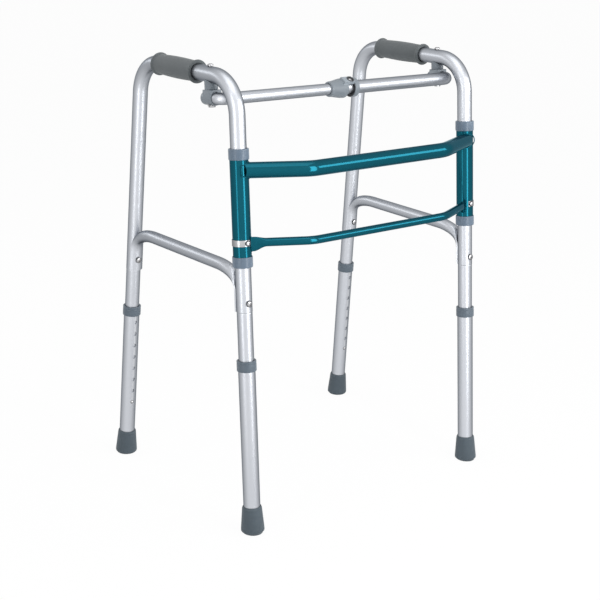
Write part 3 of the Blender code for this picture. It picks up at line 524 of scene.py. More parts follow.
def tube(name, path, hint, radius, wall):
    """Hollow tube along a path, with rounded lips at both ends."""
    path = with_end_rings(path)
    tangents = path_tangents(path)
    lip = wall / 2

    def wall_rows(wall_radius):
        return [circle_row(point, tangent, hint, wall_radius) for point, tangent in zip(path, tangents)]

    def lip_rows(end, sign):
        rows = []
        for step in range(1, LIP_STEPS):
            angle = math.pi * step / LIP_STEPS
            centre = path[end] + tangents[end] * (sign * lip * math.sin(angle) * LIP_SHAPE)
            rows.append(circle_row(centre, tangents[end], hint, radius - lip + lip * math.cos(angle)))
        return rows

    rows = wall_rows(radius) + lip_rows(-1, 1) + wall_rows(radius - wall)[::-1] + lip_rows(0, -1)[::-1]
    return skin(name, rows, joined=True)


def block(low, high, matrix, soft=EDGE):
    """Box with rounded edges."""
    low, high = Vector(low), Vector(high)
    work = bmesh.new()
    bmesh.ops.create_cube(work, size=1.0)
    bmesh.ops.scale(work, vec=high - low, verts=work.verts)
    bmesh.ops.translate(work, vec=(high + low) / 2, verts=work.verts)
    bmesh.ops.bevel(work, geom=work.edges, offset=soft, segments=EDGE_SEGMENTS, affect="EDGES", profile=0.5)
    bmesh.ops.transform(work, matrix=matrix, verts=work.verts)
    return mesh_of(work, "block")


def rod(radius, low, high, matrix, sides=SMALL_ROUND):
    """Plain round rod, for cutting holes; with six sides it is a hexagon."""
    work = bmesh.new()
    bmesh.ops.create_cone(work, cap_ends=True, segments=sides, radius1=radius, radius2=radius,
                          depth=high - low)
    bmesh.ops.translate(work, vec=(0.0, 0.0, (low + high) / 2), verts=work.verts)
    bmesh.ops.transform(work, matrix=matrix, verts=work.verts)
    return mesh_of(work, "rod")


def settled(obj):
    """Plain mesh of an object with its modifiers applied; the object is removed."""
    bpy.context.view_layer.update()
    graph = bpy.context.evaluated_depsgraph_get()
    mesh = bpy.data.meshes.new_from_object(obj.evaluated_get(graph))
    bpy.data.objects.remove(obj)
    return mesh


def shown(name, data):
    """New object in the scene."""
    obj = bpy.data.objects.new(name, data)
    bpy.context.scene.collection.objects.link(obj)
    return obj


def worked(mesh, others, soft=0.0, operation="DIFFERENCE"):
    """Mesh after cutting or adding other meshes, with the new edges slightly rounded."""
    target = shown(mesh.name, mesh)
    helpers = [shown("helper", other) for other in others]
    for helper in helpers:
        boolean = target.modifiers.new("work", "BOOLEAN")
        boolean.operation = operation
        boolean.solver = "EXACT"
        boolean.object = helper
    if soft > 0.0:
        bevel = target.modifiers.new("soft edges", "BEVEL")
        bevel.width = soft
        bevel.segments = EDGE_SEGMENTS
        bevel.limit_method = "ANGLE"
        bevel.angle_limit = BEVEL_ANGLE
        bevel.use_clamp_overlap = True
    result = settled(target)
    for helper in helpers:
        bpy.data.objects.remove(helper)
    return smoothed(result)


def carried(name, mesh, material, node):
    """Piece that moves with the body of a CAD node."""
    piece = shown(name, mesh)
    mesh.materials.clear()
    mesh.materials.append(material)
    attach(piece, BODY_OF[node])
    return piece


def dress(name, mesh, material, *nodes):
    """Finished piece that stands for its CAD nodes, or for the node of its own name."""
    nodes = nodes or (name,)
    piece = carried(name, mesh, material, nodes[0])
    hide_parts(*nodes)


def add_painted_shade(name, mesh, node):
    """Extra black piece of painted shade that moves with the body of a CAD node."""
    carried(name, mesh, SHADE_BLACK, node)


# Shader effects shared by the finishes

def effect_group(name, inputs, outputs):
    """New shader node group with float inputs, and the sockets inside it."""
    group = bpy.data.node_groups.new(name, "ShaderNodeTree")
    for label, value in inputs.items():
        socket = group.interface.new_socket(label, in_out="INPUT", socket_type="NodeSocketFloat")
        socket.default_value = value
    for label in outputs:
        group.interface.new_socket(label, in_out="OUTPUT", socket_type="NodeSocketFloat")
    return group, group.nodes.new("NodeGroupInput").outputs, group.nodes.new("NodeGroupOutput").inputs


def add_node(tree, kind, feeds=None, **settings):
    """New node; feeds gives inputs their values, or the sockets that they are linked to."""
    node = tree.nodes.new(kind)
    for key, value in settings.items():
        setattr(node, key, value)
    for label, value in (feeds or {}).items():
        if isinstance(value, bpy.types.NodeSocket):
            tree.links.new(value, node.inputs[label])
        else:
            node.inputs[label].default_value = value
    return node


def maths(tree, operation, first, second=None, clamp=False):
    """Result of a Math node fed by sockets or numbers."""
    feeds = {0: first} if second is None else {0: first, 1: second}
    return add_node(tree, "ShaderNodeMath", feeds, operation=operation, use_clamp=clamp).outputs[0]


def times(tree, first, second, clamp=False):
    """Product of sockets or numbers, kept within 0 to 1 if clamp is set."""
    return maths(tree, "MULTIPLY", first, second, clamp)


def vector_of(tree, x=0.0, y=0.0, z=0.0):
    """Vector from sockets or numbers."""
    return add_node(tree, "ShaderNodeCombineXYZ", {"X": x, "Y": y, "Z": z}).outputs[0]


def parts_of(tree, vector):
    """X, Y and Z of a vector."""
    return add_node(tree, "ShaderNodeSeparateXYZ", {0: vector}).outputs


def noise(tree, vector, scale, detail, roughness):
    """Value of a noise texture at a place."""
    feeds = {"Vector": vector, "Scale": scale, "Detail": detail, "Roughness": roughness}
    return add_node(tree, "ShaderNodeTexNoise", feeds).outputs["Fac"]


def object_place(tree):
    """Place on the piece in metres, which moves with it."""
    return add_node(tree, "ShaderNodeTexCoord").outputs["Object"]


def wrapped(group, turn, along, ring, length):
    """Noise place on a cylinder: U wraps round a ring, V runs along it."""
    x = times(group, maths(group, "COSINE", turn), ring)
    y = times(group, maths(group, "SINE", turn), ring)
    return vector_of(group, x, y, times(group, along, length))


def make_draw_lines():
    """Fine lines along a drawn tube, on its UV map: U once around, V along in metres."""
    group, given, result = effect_group("draw_lines", {"Lines Round": 34.0, "Run": 9.0}, ("Lines", "Bands"))
    place = parts_of(group, add_node(group, "ShaderNodeTexCoord").outputs["UV"])
    turn = times(group, place["X"], 2 * math.pi)
    fine = wrapped(group, turn, place["Y"], given["Lines Round"], given["Run"])
    few = times(group, given["Lines Round"], 0.1)
    slow = times(group, given["Run"], 0.5)
    broad = wrapped(group, turn, place["Y"], few, slow)
    group.links.new(noise(group, fine, 1.0, 2.0, 0.6), result["Lines"])
    group.links.new(noise(group, broad, 1.0, 2.0, 0.5), result["Bands"])
    return group


def make_cloud():
    """Soft blotches in object space, for uneven anodising, paint and moulding."""
    group, given, result = effect_group("cloud", {"Scale": 18.0, "Contrast": 2.0}, ("Blotch", "Speckle"))
    soft = noise(group, object_place(group), given["Scale"], 4.0, 0.6)
    strong = times(group, maths(group, "SUBTRACT", soft, 0.5), given["Contrast"])
    fine_scale = times(group, given["Scale"], 45.0)
    speckle = noise(group, object_place(group), fine_scale, 2.0, 0.7)
    group.links.new(maths(group, "ADD", strong, 0.5, clamp=True), result["Blotch"])
    group.links.new(speckle, result["Speckle"])
    return group


def make_edge_wear():
    """Mask of rubbed edges, broken up by noise."""
    group, given, result = effect_group("edge_wear", {"Sharpness": 14.0, "Threshold": 0.53}, ("Worn",))
    shape = add_node(group, "ShaderNodeNewGeometry")
    above = maths(group, "SUBTRACT", shape.outputs["Pointiness"], given["Threshold"])
    edge = times(group, above, given["Sharpness"], clamp=True)
    broken = noise(group, object_place(group), 420.0, 4.0, 0.7)
    rubbed = times(group, edge, times(group, broken, 1.6), clamp=True)
    group.links.new(rubbed, result["Worn"])
    return group


def make_scuffs():
    """Thin scuffs in two directions, in object space."""
    group, given, result = effect_group("scuffs", {"Scale": 90.0, "Amount": 0.35}, ("Scuffs",))
    marks = []
    for turn in ((0.3, 0.9, 0.4), (1.2, -0.5, 2.1)):
        mapping = add_node(group, "ShaderNodeMapping", {"Vector": object_place(group), "Rotation": turn,
                                                        "Scale": (1.0, 22.0, 1.0)})
        streak = noise(group, mapping.outputs[0], given["Scale"], 3.0, 0.7)
        over = maths(group, "SUBTRACT", streak, 0.66)
        marks.append(times(group, over, 14.0, clamp=True))
    both = maths(group, "MAXIMUM", *marks)
    group.links.new(times(group, both, given["Amount"]), result["Scuffs"])
    return group


def make_dust():
    """Dust that settles on surfaces that face upwards."""
    group, given, result = effect_group("dust", {"Amount": 0.25, "Scale": 240.0}, ("Dust",))
    shape = add_node(group, "ShaderNodeNewGeometry")
    upward = times(group, parts_of(group, shape.outputs["Normal"])["Z"], 1.4, clamp=True)
    grains = noise(group, object_place(group), given["Scale"], 5.0, 0.75)
    over = times(group, maths(group, "SUBTRACT", grains, 0.42), 3.0, clamp=True)
    lying = times(group, upward, over)
    group.links.new(times(group, lying, given["Amount"]), result["Dust"])
    return group


DRAW_LINES = make_draw_lines()
CLOUD = make_cloud()
EDGE_WEAR = make_edge_wear()
SCUFFS = make_scuffs()
DUST = make_dust()


# Finishes

class Finish:
    """Material whose colour, roughness and height are built up from the shared effects."""

    def __init__(self, name, colour, roughness, plain):
        self.material = bpy.data.materials.new(name)
        self.material.use_nodes = True
        self.tree = self.material.node_tree
        self.shader = self.tree.nodes["Principled BSDF"]
        for label, value in plain.items():
            self.shader.inputs[label].default_value = value
        self.colour = (*colour, 1.0)
        self.roughness = roughness
        self.height = None

    def effect(self, group, **values):
        """Outputs of a shared effect, placed with its own values."""
        return add_node(self.tree, "ShaderNodeGroup", values, node_tree=group).outputs

    def tint(self, mask, colour, amount):
        """Moves the colour towards another where the mask is high."""
        feeds = {"Factor": times(self.tree, mask, amount, clamp=True),
                 "A": self.colour, "B": (*colour, 1.0)}
        self.colour = add_node(self.tree, "ShaderNodeMix", feeds, data_type="RGBA").outputs["Result"]

    def paint_rim_shade(self, colour):
        """Painted shade: moves the colour towards a darker one where the surface turns away from view."""
        weight = add_node(self.tree, "ShaderNodeLayerWeight", {"Blend": 0.5})
        self.tint(maths(self.tree, "POWER", weight.outputs["Facing"], 0.75), colour, 1.25)

    def roughen(self, mask, amount):
        """Adds to the roughness where the mask is above its middle, and takes away below."""
        change = times(self.tree, maths(self.tree, "SUBTRACT", mask, 0.5), amount)
        self.roughness = maths(self.tree, "ADD", change, self.roughness, clamp=True)

    def raise_by(self, mask, amount):
        """Adds to the height where the mask is high."""
        part = times(self.tree, mask, amount)
        self.height = part if self.height is None else maths(self.tree, "ADD", self.height, part)

    def finish(self, depth, strength):
        """Material with what was built up joined to its shader; depth in metres."""
        bump = add_node(self.tree, "ShaderNodeBump", {"Height": self.height, "Distance": depth,
                                                      "Strength": strength})
        for label, socket in (("Base Color", self.colour), ("Roughness", self.roughness),
                              ("Normal", bump.outputs["Normal"])):
            self.tree.links.new(socket, self.shader.inputs[label])
        return self.material


def anodised_aluminium():
    """Satin anodised tube with faint draw lines, cloudy tone, light scuffs and painted shade towards its
    rims.
    """
    look = Finish("anodised_aluminium", (0.69, 0.71, 0.755), 0.39,
                  {"Metallic": 1.0, "Specular Tint": (0.60, 0.62, 0.66, 1.0)})
    lines = look.effect(DRAW_LINES)
    cloud = look.effect(CLOUD, Scale=14.0, Contrast=2.4)
    scuffs = look.effect(SCUFFS, Scale=70.0, Amount=0.30)
    wear = look.effect(EDGE_WEAR, Sharpness=10.0, Threshold=0.55)
    look.tint(lines["Bands"], (0.84, 0.86, 0.90), 0.35)
    look.tint(cloud["Blotch"], (0.64, 0.67, 0.73), 0.30)
    look.tint(lines["Lines"], (0.60, 0.62, 0.67), 0.22)
    look.tint(scuffs["Scuffs"], (0.86, 0.87, 0.90), 0.5)
    # Painted shade: the colour darkens towards the rims as they turn from view.
    look.paint_rim_shade((0.20, 0.215, 0.235))
    look.tint(wear["Worn"], (0.80, 0.81, 0.83), 0.5)
    look.roughen(lines["Lines"], 0.14)
    look.roughen(cloud["Speckle"], 0.08)
    look.raise_by(lines["Lines"], 0.5)
    look.raise_by(cloud["Speckle"], 0.25)
    return look.finish(depth=0.00003, strength=0.5)


def teal_paint():
    """Gloss stoved paint with fine metal flake, orange peel, rubbed edges and painted shade towards its rims.
    """
    look = Finish("teal_paint", (0.008, 0.100, 0.140), 0.23,
                  {"Metallic": 0.68, "Specular IOR Level": 0.12, "Specular Tint": (0.30, 0.55, 0.62, 1.0)})
    cloud = look.effect(CLOUD, Scale=30.0, Contrast=1.6)
    dust = look.effect(DUST, Amount=0.16, Scale=300.0)
    wear = look.effect(EDGE_WEAR, Sharpness=9.0, Threshold=0.57)
    look.tint(cloud["Speckle"], (0.010, 0.155, 0.210), 0.45)
    look.tint(cloud["Blotch"], (0.004, 0.085, 0.125), 0.25)
    # Painted shade: the colour darkens towards the rims as they turn from view.
    look.paint_rim_shade((0.003, 0.050, 0.072))
    look.tint(wear["Worn"], (0.06, 0.24, 0.28), 0.30)
    look.tint(dust["Dust"], (0.30, 0.38, 0.41), 0.18)
    look.roughen(cloud["Speckle"], 0.08)
    look.roughen(dust["Dust"], 0.25)
    look.raise_by(cloud["Blotch"], 1.0)
    look.raise_by(cloud["Speckle"], 0.10)
    return look.finish(depth=0.00008, strength=0.3)


def moulded_plastic(name, dark, pale, roughness):
    """Satin moulded plastic with a fine spark-eroded grain."""
    look = Finish(name, dark, roughness, {"Specular IOR Level": 0.45})
    cloud = look.effect(CLOUD, Scale=55.0, Contrast=1.8)
    dust = look.effect(DUST, Amount=0.30, Scale=320.0)
    wear = look.effect(EDGE_WEAR, Sharpness=8.0, Threshold=0.54)
    look.tint(cloud["Blotch"], pale, 0.30)
    look.tint(cloud["Speckle"], pale, 0.28)
    look.tint(wear["Worn"], tuple(min(1.0, value * 1.8) for value in pale), 0.45)
    look.tint(dust["Dust"], (0.48, 0.50, 0.52), 0.35)
    look.roughen(cloud["Speckle"], 0.22)
    look.raise_by(cloud["Speckle"], 1.0)
    return look.finish(depth=0.00012, strength=0.4)


def moulded_rubber(name, dark, pale, roughness):
    """Matte rubber with a soft bloom, fine grain and dusty scuffs."""
    look = Finish(name, dark, roughness,
                  {"Specular IOR Level": 0.35, "Sheen Weight": 0.12, "Sheen Roughness": 0.45})
    cloud = look.effect(CLOUD, Scale=38.0, Contrast=2.2)
    scuffs = look.effect(SCUFFS, Scale=120.0, Amount=0.35)
    dust = look.effect(DUST, Amount=0.35, Scale=260.0)
    look.tint(cloud["Blotch"], pale, 0.42)
    look.tint(cloud["Speckle"], pale, 0.30)
    look.tint(scuffs["Scuffs"], (0.32, 0.33, 0.34), 0.40)
    look.tint(dust["Dust"], (0.42, 0.43, 0.43), 0.35)
    look.roughen(cloud["Blotch"], 0.14)
    look.raise_by(cloud["Speckle"], 1.0)
    look.raise_by(cloud["Blotch"], 0.6)
    return look.finish(depth=0.00022, strength=0.5)


def bright_steel():
    """Zinc-plated steel with fine turning marks, duller patches and painted shade towards its rims."""
    look = Finish("bright_steel", (0.60, 0.60, 0.61), 0.26, {"Metallic": 1.0})
    cloud = look.effect(CLOUD, Scale=120.0, Contrast=2.2)
    scuffs = look.effect(SCUFFS, Scale=300.0, Amount=0.5)
    wear = look.effect(EDGE_WEAR, Sharpness=8.0, Threshold=0.55)
    look.tint(cloud["Blotch"], (0.58, 0.59, 0.60), 0.45)
    look.tint(scuffs["Scuffs"], (0.84, 0.84, 0.83), 0.5)
    # Painted shade: the colour darkens towards the rims as they turn from view.
    look.paint_rim_shade((0.12, 0.12, 0.13))
    look.tint(wear["Worn"], (0.80, 0.80, 0.78), 0.6)
    look.roughen(cloud["Blotch"], 0.18)
    look.raise_by(scuffs["Scuffs"], 1.0)
    look.raise_by(cloud["Speckle"], 0.3)
    return look.finish(depth=0.00002, strength=0.5)


ALUMINIUM = anodised_aluminium()
TEAL = teal_paint()
COLLAR_PLASTIC = moulded_plastic("blue_grey_plastic", (0.095, 0.135, 0.185), (0.165, 0.215, 0.28), 0.32)
DARK_PLASTIC = moulded_plastic("dark_grey_plastic", (0.075, 0.101, 0.127), (0.135, 0.167, 0.205), 0.42)
# Black for the pieces of painted shade in gaps and round heads.
SHADE_BLACK = moulded_plastic("black_plastic", (0.010, 0.012, 0.016), (0.025, 0.028, 0.034), 0.50)
GREY_PLASTIC = moulded_plastic("grey_plastic", (0.145, 0.17, 0.195), (0.24, 0.27, 0.30), 0.42)
GRIP_RUBBER = moulded_rubber("grip_rubber", (0.080, 0.091, 0.096), (0.138, 0.152, 0.160), 0.72)
TIP_RUBBER = moulded_rubber("tip_rubber", (0.048, 0.066, 0.081), (0.090, 0.115, 0.137), 0.68)
STEEL = bright_steel()


# Geometry node trees for what repeats or follows a path

def geometry_tree(name, inputs):
    """New geometry node tree with a Geometry input, named inputs and a Material input."""
    tree = bpy.data.node_groups.new(name, "GeometryNodeTree")
    for label, kind in {"Geometry": "Geometry", **inputs, "Material": "Material"}.items():
        tree.interface.new_socket(label, in_out="INPUT", socket_type="NodeSocket" + kind)
    tree.interface.new_socket("Geometry", in_out="OUTPUT", socket_type="NodeSocketGeometry")
    return tree, tree.nodes.new("NodeGroupInput").outputs


def end_tree(tree, given, geometry):
    """Last nodes of each tree: real geometry with its material."""
    real = add_node(tree, "GeometryNodeRealizeInstances", {"Geometry": geometry})
    finish = add_node(tree, "GeometryNodeSetMaterial", {"Geometry": real.outputs[0],
                                                        "Material": given["Material"]})
    add_node(tree, "NodeGroupOutput", {"Geometry": finish.outputs[0]})
    return tree


def lifted(tree, geometry, height, turn=0.0):
    """Geometry turned about Z and moved along it."""
    feeds = {"Geometry": geometry, "Translation": vector_of(tree, z=height), "Rotation": (0.0, 0.0, turn)}
    return add_node(tree, "GeometryNodeTransform", feeds).outputs[0]


def make_hole_row():
    """Row of round holes cut through the wall on the +X side of a tube along Z."""
    tree, given = geometry_tree("hole_row", {"Count": "Int", "Pitch": "Float", "First": "Float",
                                             "Hole Radius": "Float", "Reach": "Float"})
    half = times(tree, given["Reach"], 0.5)
    line = add_node(tree, "GeometryNodeMeshLine", {
        "Count": given["Count"], "Start Location": vector_of(tree, half, 0.0, given["First"]),
        "Offset": vector_of(tree, z=given["Pitch"])})
    drill = add_node(tree, "GeometryNodeMeshCylinder", {
        "Vertices": SMALL_ROUND, "Radius": given["Hole Radius"], "Depth": given["Reach"]})
    across = add_node(tree, "GeometryNodeTransform", {
        "Geometry": drill.outputs["Mesh"], "Rotation": (0.0, math.pi / 2, 0.0)})
    place = add_node(tree, "GeometryNodeInstanceOnPoints", {
        "Points": line.outputs["Mesh"], "Instance": across.outputs[0]})
    holes = add_node(tree, "GeometryNodeRealizeInstances", {"Geometry": place.outputs[0]})
    cut = add_node(tree, "GeometryNodeMeshBoolean", {"Mesh 1": given["Geometry"], "Mesh 2": holes.outputs[0]},
                   operation="DIFFERENCE", solver="EXACT")
    return end_tree(tree, given, cut.outputs["Mesh"])


def make_weld_bead():
    """Rippled bead along a closed seam."""
    tree, given = geometry_tree("weld_bead", {"Bead Radius": "Float", "Ripple Pitch": "Float",
                                              "Ripple Depth": "Float"})
    path = add_node(tree, "GeometryNodeMeshToCurve", {"Mesh": given["Geometry"]})
    spacing = times(tree, given["Ripple Pitch"], 0.25)
    even = add_node(tree, "GeometryNodeResampleCurve", {"Curve": path.outputs["Curve"], "Length": spacing},
                    mode="LENGTH")
    spot = add_node(tree, "GeometryNodeSplineParameter")
    wave = maths(tree, "DIVIDE", spot.outputs["Length"], given["Ripple Pitch"])
    wave = maths(tree, "ABSOLUTE", maths(tree, "SINE", times(tree, wave, math.pi)))
    size = times(tree, wave, given["Ripple Depth"])
    size = maths(tree, "ADD", size, maths(tree, "SUBTRACT", 1.0, given["Ripple Depth"]))
    ring = add_node(tree, "GeometryNodeCurvePrimitiveCircle", {"Resolution": BEAD_SIDES,
                                                               "Radius": given["Bead Radius"]})
    sweep = add_node(tree, "GeometryNodeCurveToMesh", {
        "Curve": even.outputs["Curve"], "Profile Curve": ring.outputs["Curve"], "Scale": size})
    smooth = add_node(tree, "GeometryNodeSetShadeSmooth", {"Geometry": sweep.outputs["Mesh"]})
    return end_tree(tree, given, smooth.outputs["Geometry"])


def screw_dome(tree, given):
    """Pan head on its seat: a cylinder whose top falls away with the square of the radius."""
    dome_blank = add_node(tree, "GeometryNodeMeshCylinder", {
        "Vertices": SMALL_ROUND, "Fill Segments": 8, "Radius": given["Head Radius"],
        "Depth": given["Head Height"]})
    place = parts_of(tree, add_node(tree, "GeometryNodeInputPosition").outputs[0])
    across = maths(tree, "ADD", times(tree, place["X"], place["X"]),
                   times(tree, place["Y"], place["Y"]))
    rim = times(tree, given["Head Radius"], given["Head Radius"])
    drop = times(tree, maths(tree, "DIVIDE", across, rim),
                 times(tree, given["Head Height"], -0.6))
    bend = add_node(tree, "GeometryNodeSetPosition", {
        "Geometry": dome_blank.outputs["Mesh"], "Selection": maths(tree, "GREATER_THAN", place["Z"], 0.0),
        "Offset": vector_of(tree, z=drop)})
    return lifted(tree, bend.outputs[0], times(tree, given["Head Height"], 0.5))


def screw_blank(tree, given):
    """Head and shank of a screw in one."""
    shank = add_node(tree, "GeometryNodeMeshCylinder", {
        "Vertices": SMALL_ROUND, "Radius": given["Shank Radius"], "Depth": given["Shank Length"]})
    half = times(tree, given["Shank Length"], 0.5)
    depth = maths(tree, "SUBTRACT", SCREW_SEAT * 0.5, half)
    body = add_node(tree, "GeometryNodeMeshBoolean", operation="UNION", solver="EXACT")
    for piece in (screw_dome(tree, given), lifted(tree, shank.outputs["Mesh"], depth)):
        tree.links.new(piece, body.inputs["Mesh 2"])
    return body.outputs["Mesh"]


def make_cross_heads():
    """Pan-head screws with a cross recess, one on each point, turned by the points' turn."""
    tree, given = geometry_tree("cross_head_screws", {"Head Radius": "Float", "Head Height": "Float",
                                                      "Shank Radius": "Float", "Shank Length": "Float"})
    cut = add_node(tree, "GeometryNodeMeshBoolean", {"Mesh 1": screw_blank(tree, given)},
                   operation="DIFFERENCE", solver="EXACT")
    wide = times(tree, given["Head Radius"], 1.15)
    thin = times(tree, given["Head Radius"], 0.24)
    tall = times(tree, given["Head Height"], 1.4)
    level = times(tree, given["Head Height"], 1.15)
    for angle in (0.0, math.pi / 2):
        blade = add_node(tree, "GeometryNodeMeshCube", {"Size": vector_of(tree, wide, thin, tall)})
        tree.links.new(lifted(tree, blade.outputs["Mesh"], level, angle), cut.inputs["Mesh 2"])
    turn = add_node(tree, "GeometryNodeInputNamedAttribute", {"Name": "turn"}, data_type="FLOAT_VECTOR")
    spin = add_node(tree, "FunctionNodeEulerToRotation", {"Euler": turn.outputs["Attribute"]})
    spread = add_node(tree, "GeometryNodeInstanceOnPoints", {
        "Points": given["Geometry"], "Instance": cut.outputs["Mesh"], "Rotation": spin.outputs["Rotation"]})
    return end_tree(tree, given, spread.outputs["Instances"])


HOLE_ROW = make_hole_row()
WELD_BEAD = make_weld_bead()
CROSS_HEADS = make_cross_heads()


def grown(mesh, tree, material, **values):
    """Mesh that a geometry node tree makes from another mesh."""
    obj = shown(mesh.name, mesh)
    modifier = obj.modifiers.new(tree.name, "NODES")
    modifier.node_group = tree
    values["material"] = material
    for item in tree.interface.items_tree:
        label = item.name.replace(" ", "_").lower()
        if item.in_out == "INPUT" and label in values:
            modifier[item.identifier] = values[label]
    return settled(obj)


# Side frames

def frame_tube(side):
    """The bent tube that is both legs' upper part and the handle."""
    corners = [leg_point(side, "front", SEAM_Z["front"]), leg_point(side, "front", HANDLE_Z),
               leg_point(side, "rear", HANDLE_Z), leg_point(side, "rear", SEAM_Z["rear"])]
    path = bent_path(corners, (FRONT_BEND, REAR_BEND), HANDLE_STEPS)
    name = side + "_frame_tube"
    holes = [screw_hole(side, end) for end in ENDS]
    holes.append(rod(BOLT_R + GAP, 0.0, 2 * (HANDLE_Z - TOP_BAR_Z), pivot_matrix(side)))
    dress(name, worked(tube(name, path, X_AXIS, TUBE_R, TUBE_WALL), holes), ALUMINIUM)


def screw_hole(side, end):
    """Cutter for a brace screw through a leg."""
    return rod(SCREW_R + GAP, -2 * TUBE_R, 2 * TUBE_R, hole_matrix(side, end, SCREW_Z[end]))


def inner_leg(side, end):
    """Leg tube below the seam, with a neck inside the frame tube."""
    rise = leg_axis(side, end)[1].z
    low = INNER_END_Z / rise
    seam = SEAM_Z[end] / rise - GAP
    neck_r = TUBE_R - TUBE_WALL - GAP
    top = seam + NECK_LENGTH
    bore = INNER_R - INNER_WALL
    outline = [(INNER_R, low), (INNER_R, seam - 2 * SEAM_BEVEL), (INNER_R - SEAM_BEVEL, seam), (neck_r, seam),
               (neck_r, top), (neck_r - INNER_WALL, top),
               (neck_r - INNER_WALL, seam - INNER_WALL), (bore, seam - 3 * INNER_WALL), (bore, low)]
    name = side + "_" + end + "_inner_leg"
    mesh = turned(name, outline, leg_matrix(side, end))
    button_hole = rod(SNAP_R + GAP, 0.0, 2 * INNER_R, hole_matrix(side, end, FIRST_HOLE_Z))
    dress(name, worked(mesh, [screw_hole(side, end), button_hole]), ALUMINIUM)


def section_angles():
    """Angles round the brace; the first half becomes the face away from the leg."""
    return [2 * math.pi * (k + 0.5) / ROUND - math.pi / 2 for k in range(ROUND)]


def crescent_point(side, end, z, angle):
    """Point of the flat crescent round a leg: its face away from the leg first, then its inner face."""
    quarter = math.pi / 2
    if angle <= quarter:
        radius = TUBE_R + GAP + 2 * BRACE_WALL
        turn = angle * BRACE_SPREAD / quarter
    else:
        radius = TUBE_R + GAP
        turn = (math.pi - angle) * BRACE_SPREAD / quarter
    out = outward_of_holes(side, end)
    across = square_to(X_AXIS, leg_axis(side, end)[1])
    return leg_point(side, end, z) + out * (radius * math.cos(turn)) + across * (radius * math.sin(turn))


def bend_section(side, end, share):
    """Ring of the brace in its bend, from the round tube to the crescent beside the leg."""
    turn = share * math.pi / 2
    drop = 1 - math.cos(turn)
    reach = 1 - math.sin(turn)
    face = TUBE_R + GAP
    outer_z = BRACE_Z + BRACE_R - BRACE_OUTER_DROP * drop
    inner_z = BRACE_Z - BRACE_R - BRACE_INNER_DROP * drop
    towards = inward(end)
    outer = leg_point(side, end, outer_z) + towards * (face + BRACE_BEND_LENGTH * reach)
    inner = leg_point(side, end, inner_z) + towards * (face + 2 * BRACE_WALL + BRACE_BEND_LENGTH * reach)
    middle = (outer + inner) / 2
    half = (inner - outer) / 2
    foot, direction = leg_axis(side, end)
    ring = []
    for angle in section_angles():
        place = middle + half * math.cos(angle) + X_AXIS * (BRACE_R * math.sin(angle))
        z = outer_z + (inner_z - outer_z) * (0.5 + 0.5 * math.cos(angle))
        place = place.lerp(crescent_point(side, end, z, angle), drop)
        centre = foot + direction * (place - foot).dot(direction)
        away = place - centre
        ring.append(centre + away.normalized() * max(away.length, face))
    return ring


def bore_section(side, end):
    """Round ring at an end of the hollow straight part of the brace."""
    distance = TUBE_R + GAP + BRACE_BEND_LENGTH
    upper = leg_point(side, end, BRACE_Z + BRACE_R) + inward(end) * distance
    lower = leg_point(side, end, BRACE_Z - BRACE_R) + inward(end) * (distance + 2 * BRACE_WALL)
    middle = (upper + lower) / 2
    radius = BRACE_R - BRACE_WALL
    half = (lower - upper) / 2 * (radius / BRACE_R)
    return [middle + half * math.cos(angle) + X_AXIS * (radius * math.sin(angle))
            for angle in section_angles()]


def brace_end(side, end):
    """Rings of one end of the brace, from its foot on the leg, through the bend, to the straight part."""
    flat_top = BRACE_Z - BRACE_R - BRACE_INNER_DROP
    levels = [SEAM_Z[end] + (flat_top - SEAM_Z[end]) * share for share in BRACE_FLAT_SHARES]
    rows = [[crescent_point(side, end, z, angle) for angle in section_angles()] for z in levels]
    return rows + [bend_section(side, end, step / BRACE_STEPS) for step in range(BRACE_STEPS, -1, -1)]


def brace(side):
    """Brace tube between the legs, its ends bent down and pressed flat round them."""
    front, rear = (brace_end(side, end) for end in ENDS)
    shares = [step / BRACE_MIDDLE_STEPS for step in range(1, BRACE_MIDDLE_STEPS)]
    straight = [[a.lerp(b, share) for a, b in zip(front[-1], rear[-1])] for share in shares]
    name = side + "_brace"
    mesh = skin(name, front + straight + rear[::-1], capped=True)
    middle = (leg_point(side, "front", BRACE_Z) + leg_point(side, "rear", BRACE_Z)) / 2
    drain = rod(DRAIN_R, -2 * BRACE_R, 0.0, Matrix.Translation(middle))
    bore = skin(name + "_bore", [bore_section(side, end) for end in ENDS], capped=True)
    dress(name, worked(mesh, [bore, drain] + [screw_hole(side, end) for end in ENDS]), ALUMINIUM)


def painted_shade_ring(node, radius, matrix):
    """Black ring of painted shade round the head of a screw or pin."""
    outline = ring_outline(radius, radius + RING_W, 0.0, RING_W)
    mesh = turned(node + "_ring", outline, matrix, soft=THIN_EDGE, sides=SMALL_ROUND)
    add_painted_shade(node + "_ring", mesh, node)


def screw_seat(side, end):
    """Frame under a brace screw's head, with Z forward: the rear one sits on the brace."""
    forward = forward_of(leg_axis(side, end)[1])
    rim = TUBE_R + GAP + SCREW_SEAT
    if end == "rear":
        rim += 2 * BRACE_WALL
    return frame_matrix(leg_point(side, end, SCREW_Z[end]) + forward * rim, forward, X_AXIS)


def brace_screws(side):
    """The two pan-head screws that hold the brace to the legs, their heads forward."""
    nodes = [side + "_" + end + "_brace_screw" for end in ENDS]
    seats = [screw_seat(side, end) for end in ENDS]
    mesh = bpy.data.meshes.new(side + "_brace_screws")
    mesh.from_pydata([seat.translation for seat in seats], [], [])
    angles = [angle for seat in seats for angle in seat.to_euler()]
    mesh.attributes.new("turn", "FLOAT_VECTOR", "POINT").data.foreach_set("vector", angles)
    length = 2 * (TUBE_R + GAP + BRACE_WALL) + SCREW_SEAT + SCREW_TAIL
    heads = grown(mesh, CROSS_HEADS, STEEL, head_radius=SCREW_HEAD_R, head_height=SCREW_HEAD_H,
                  shank_radius=SCREW_R, shank_length=length)
    dress(side + "_brace_screws", smoothed(heads), STEEL, *nodes)
    # Black rings of painted shade round the screw heads.
    for node, seat in zip(nodes, seats):
        painted_shade_ring(node, SCREW_HEAD_R, seat)


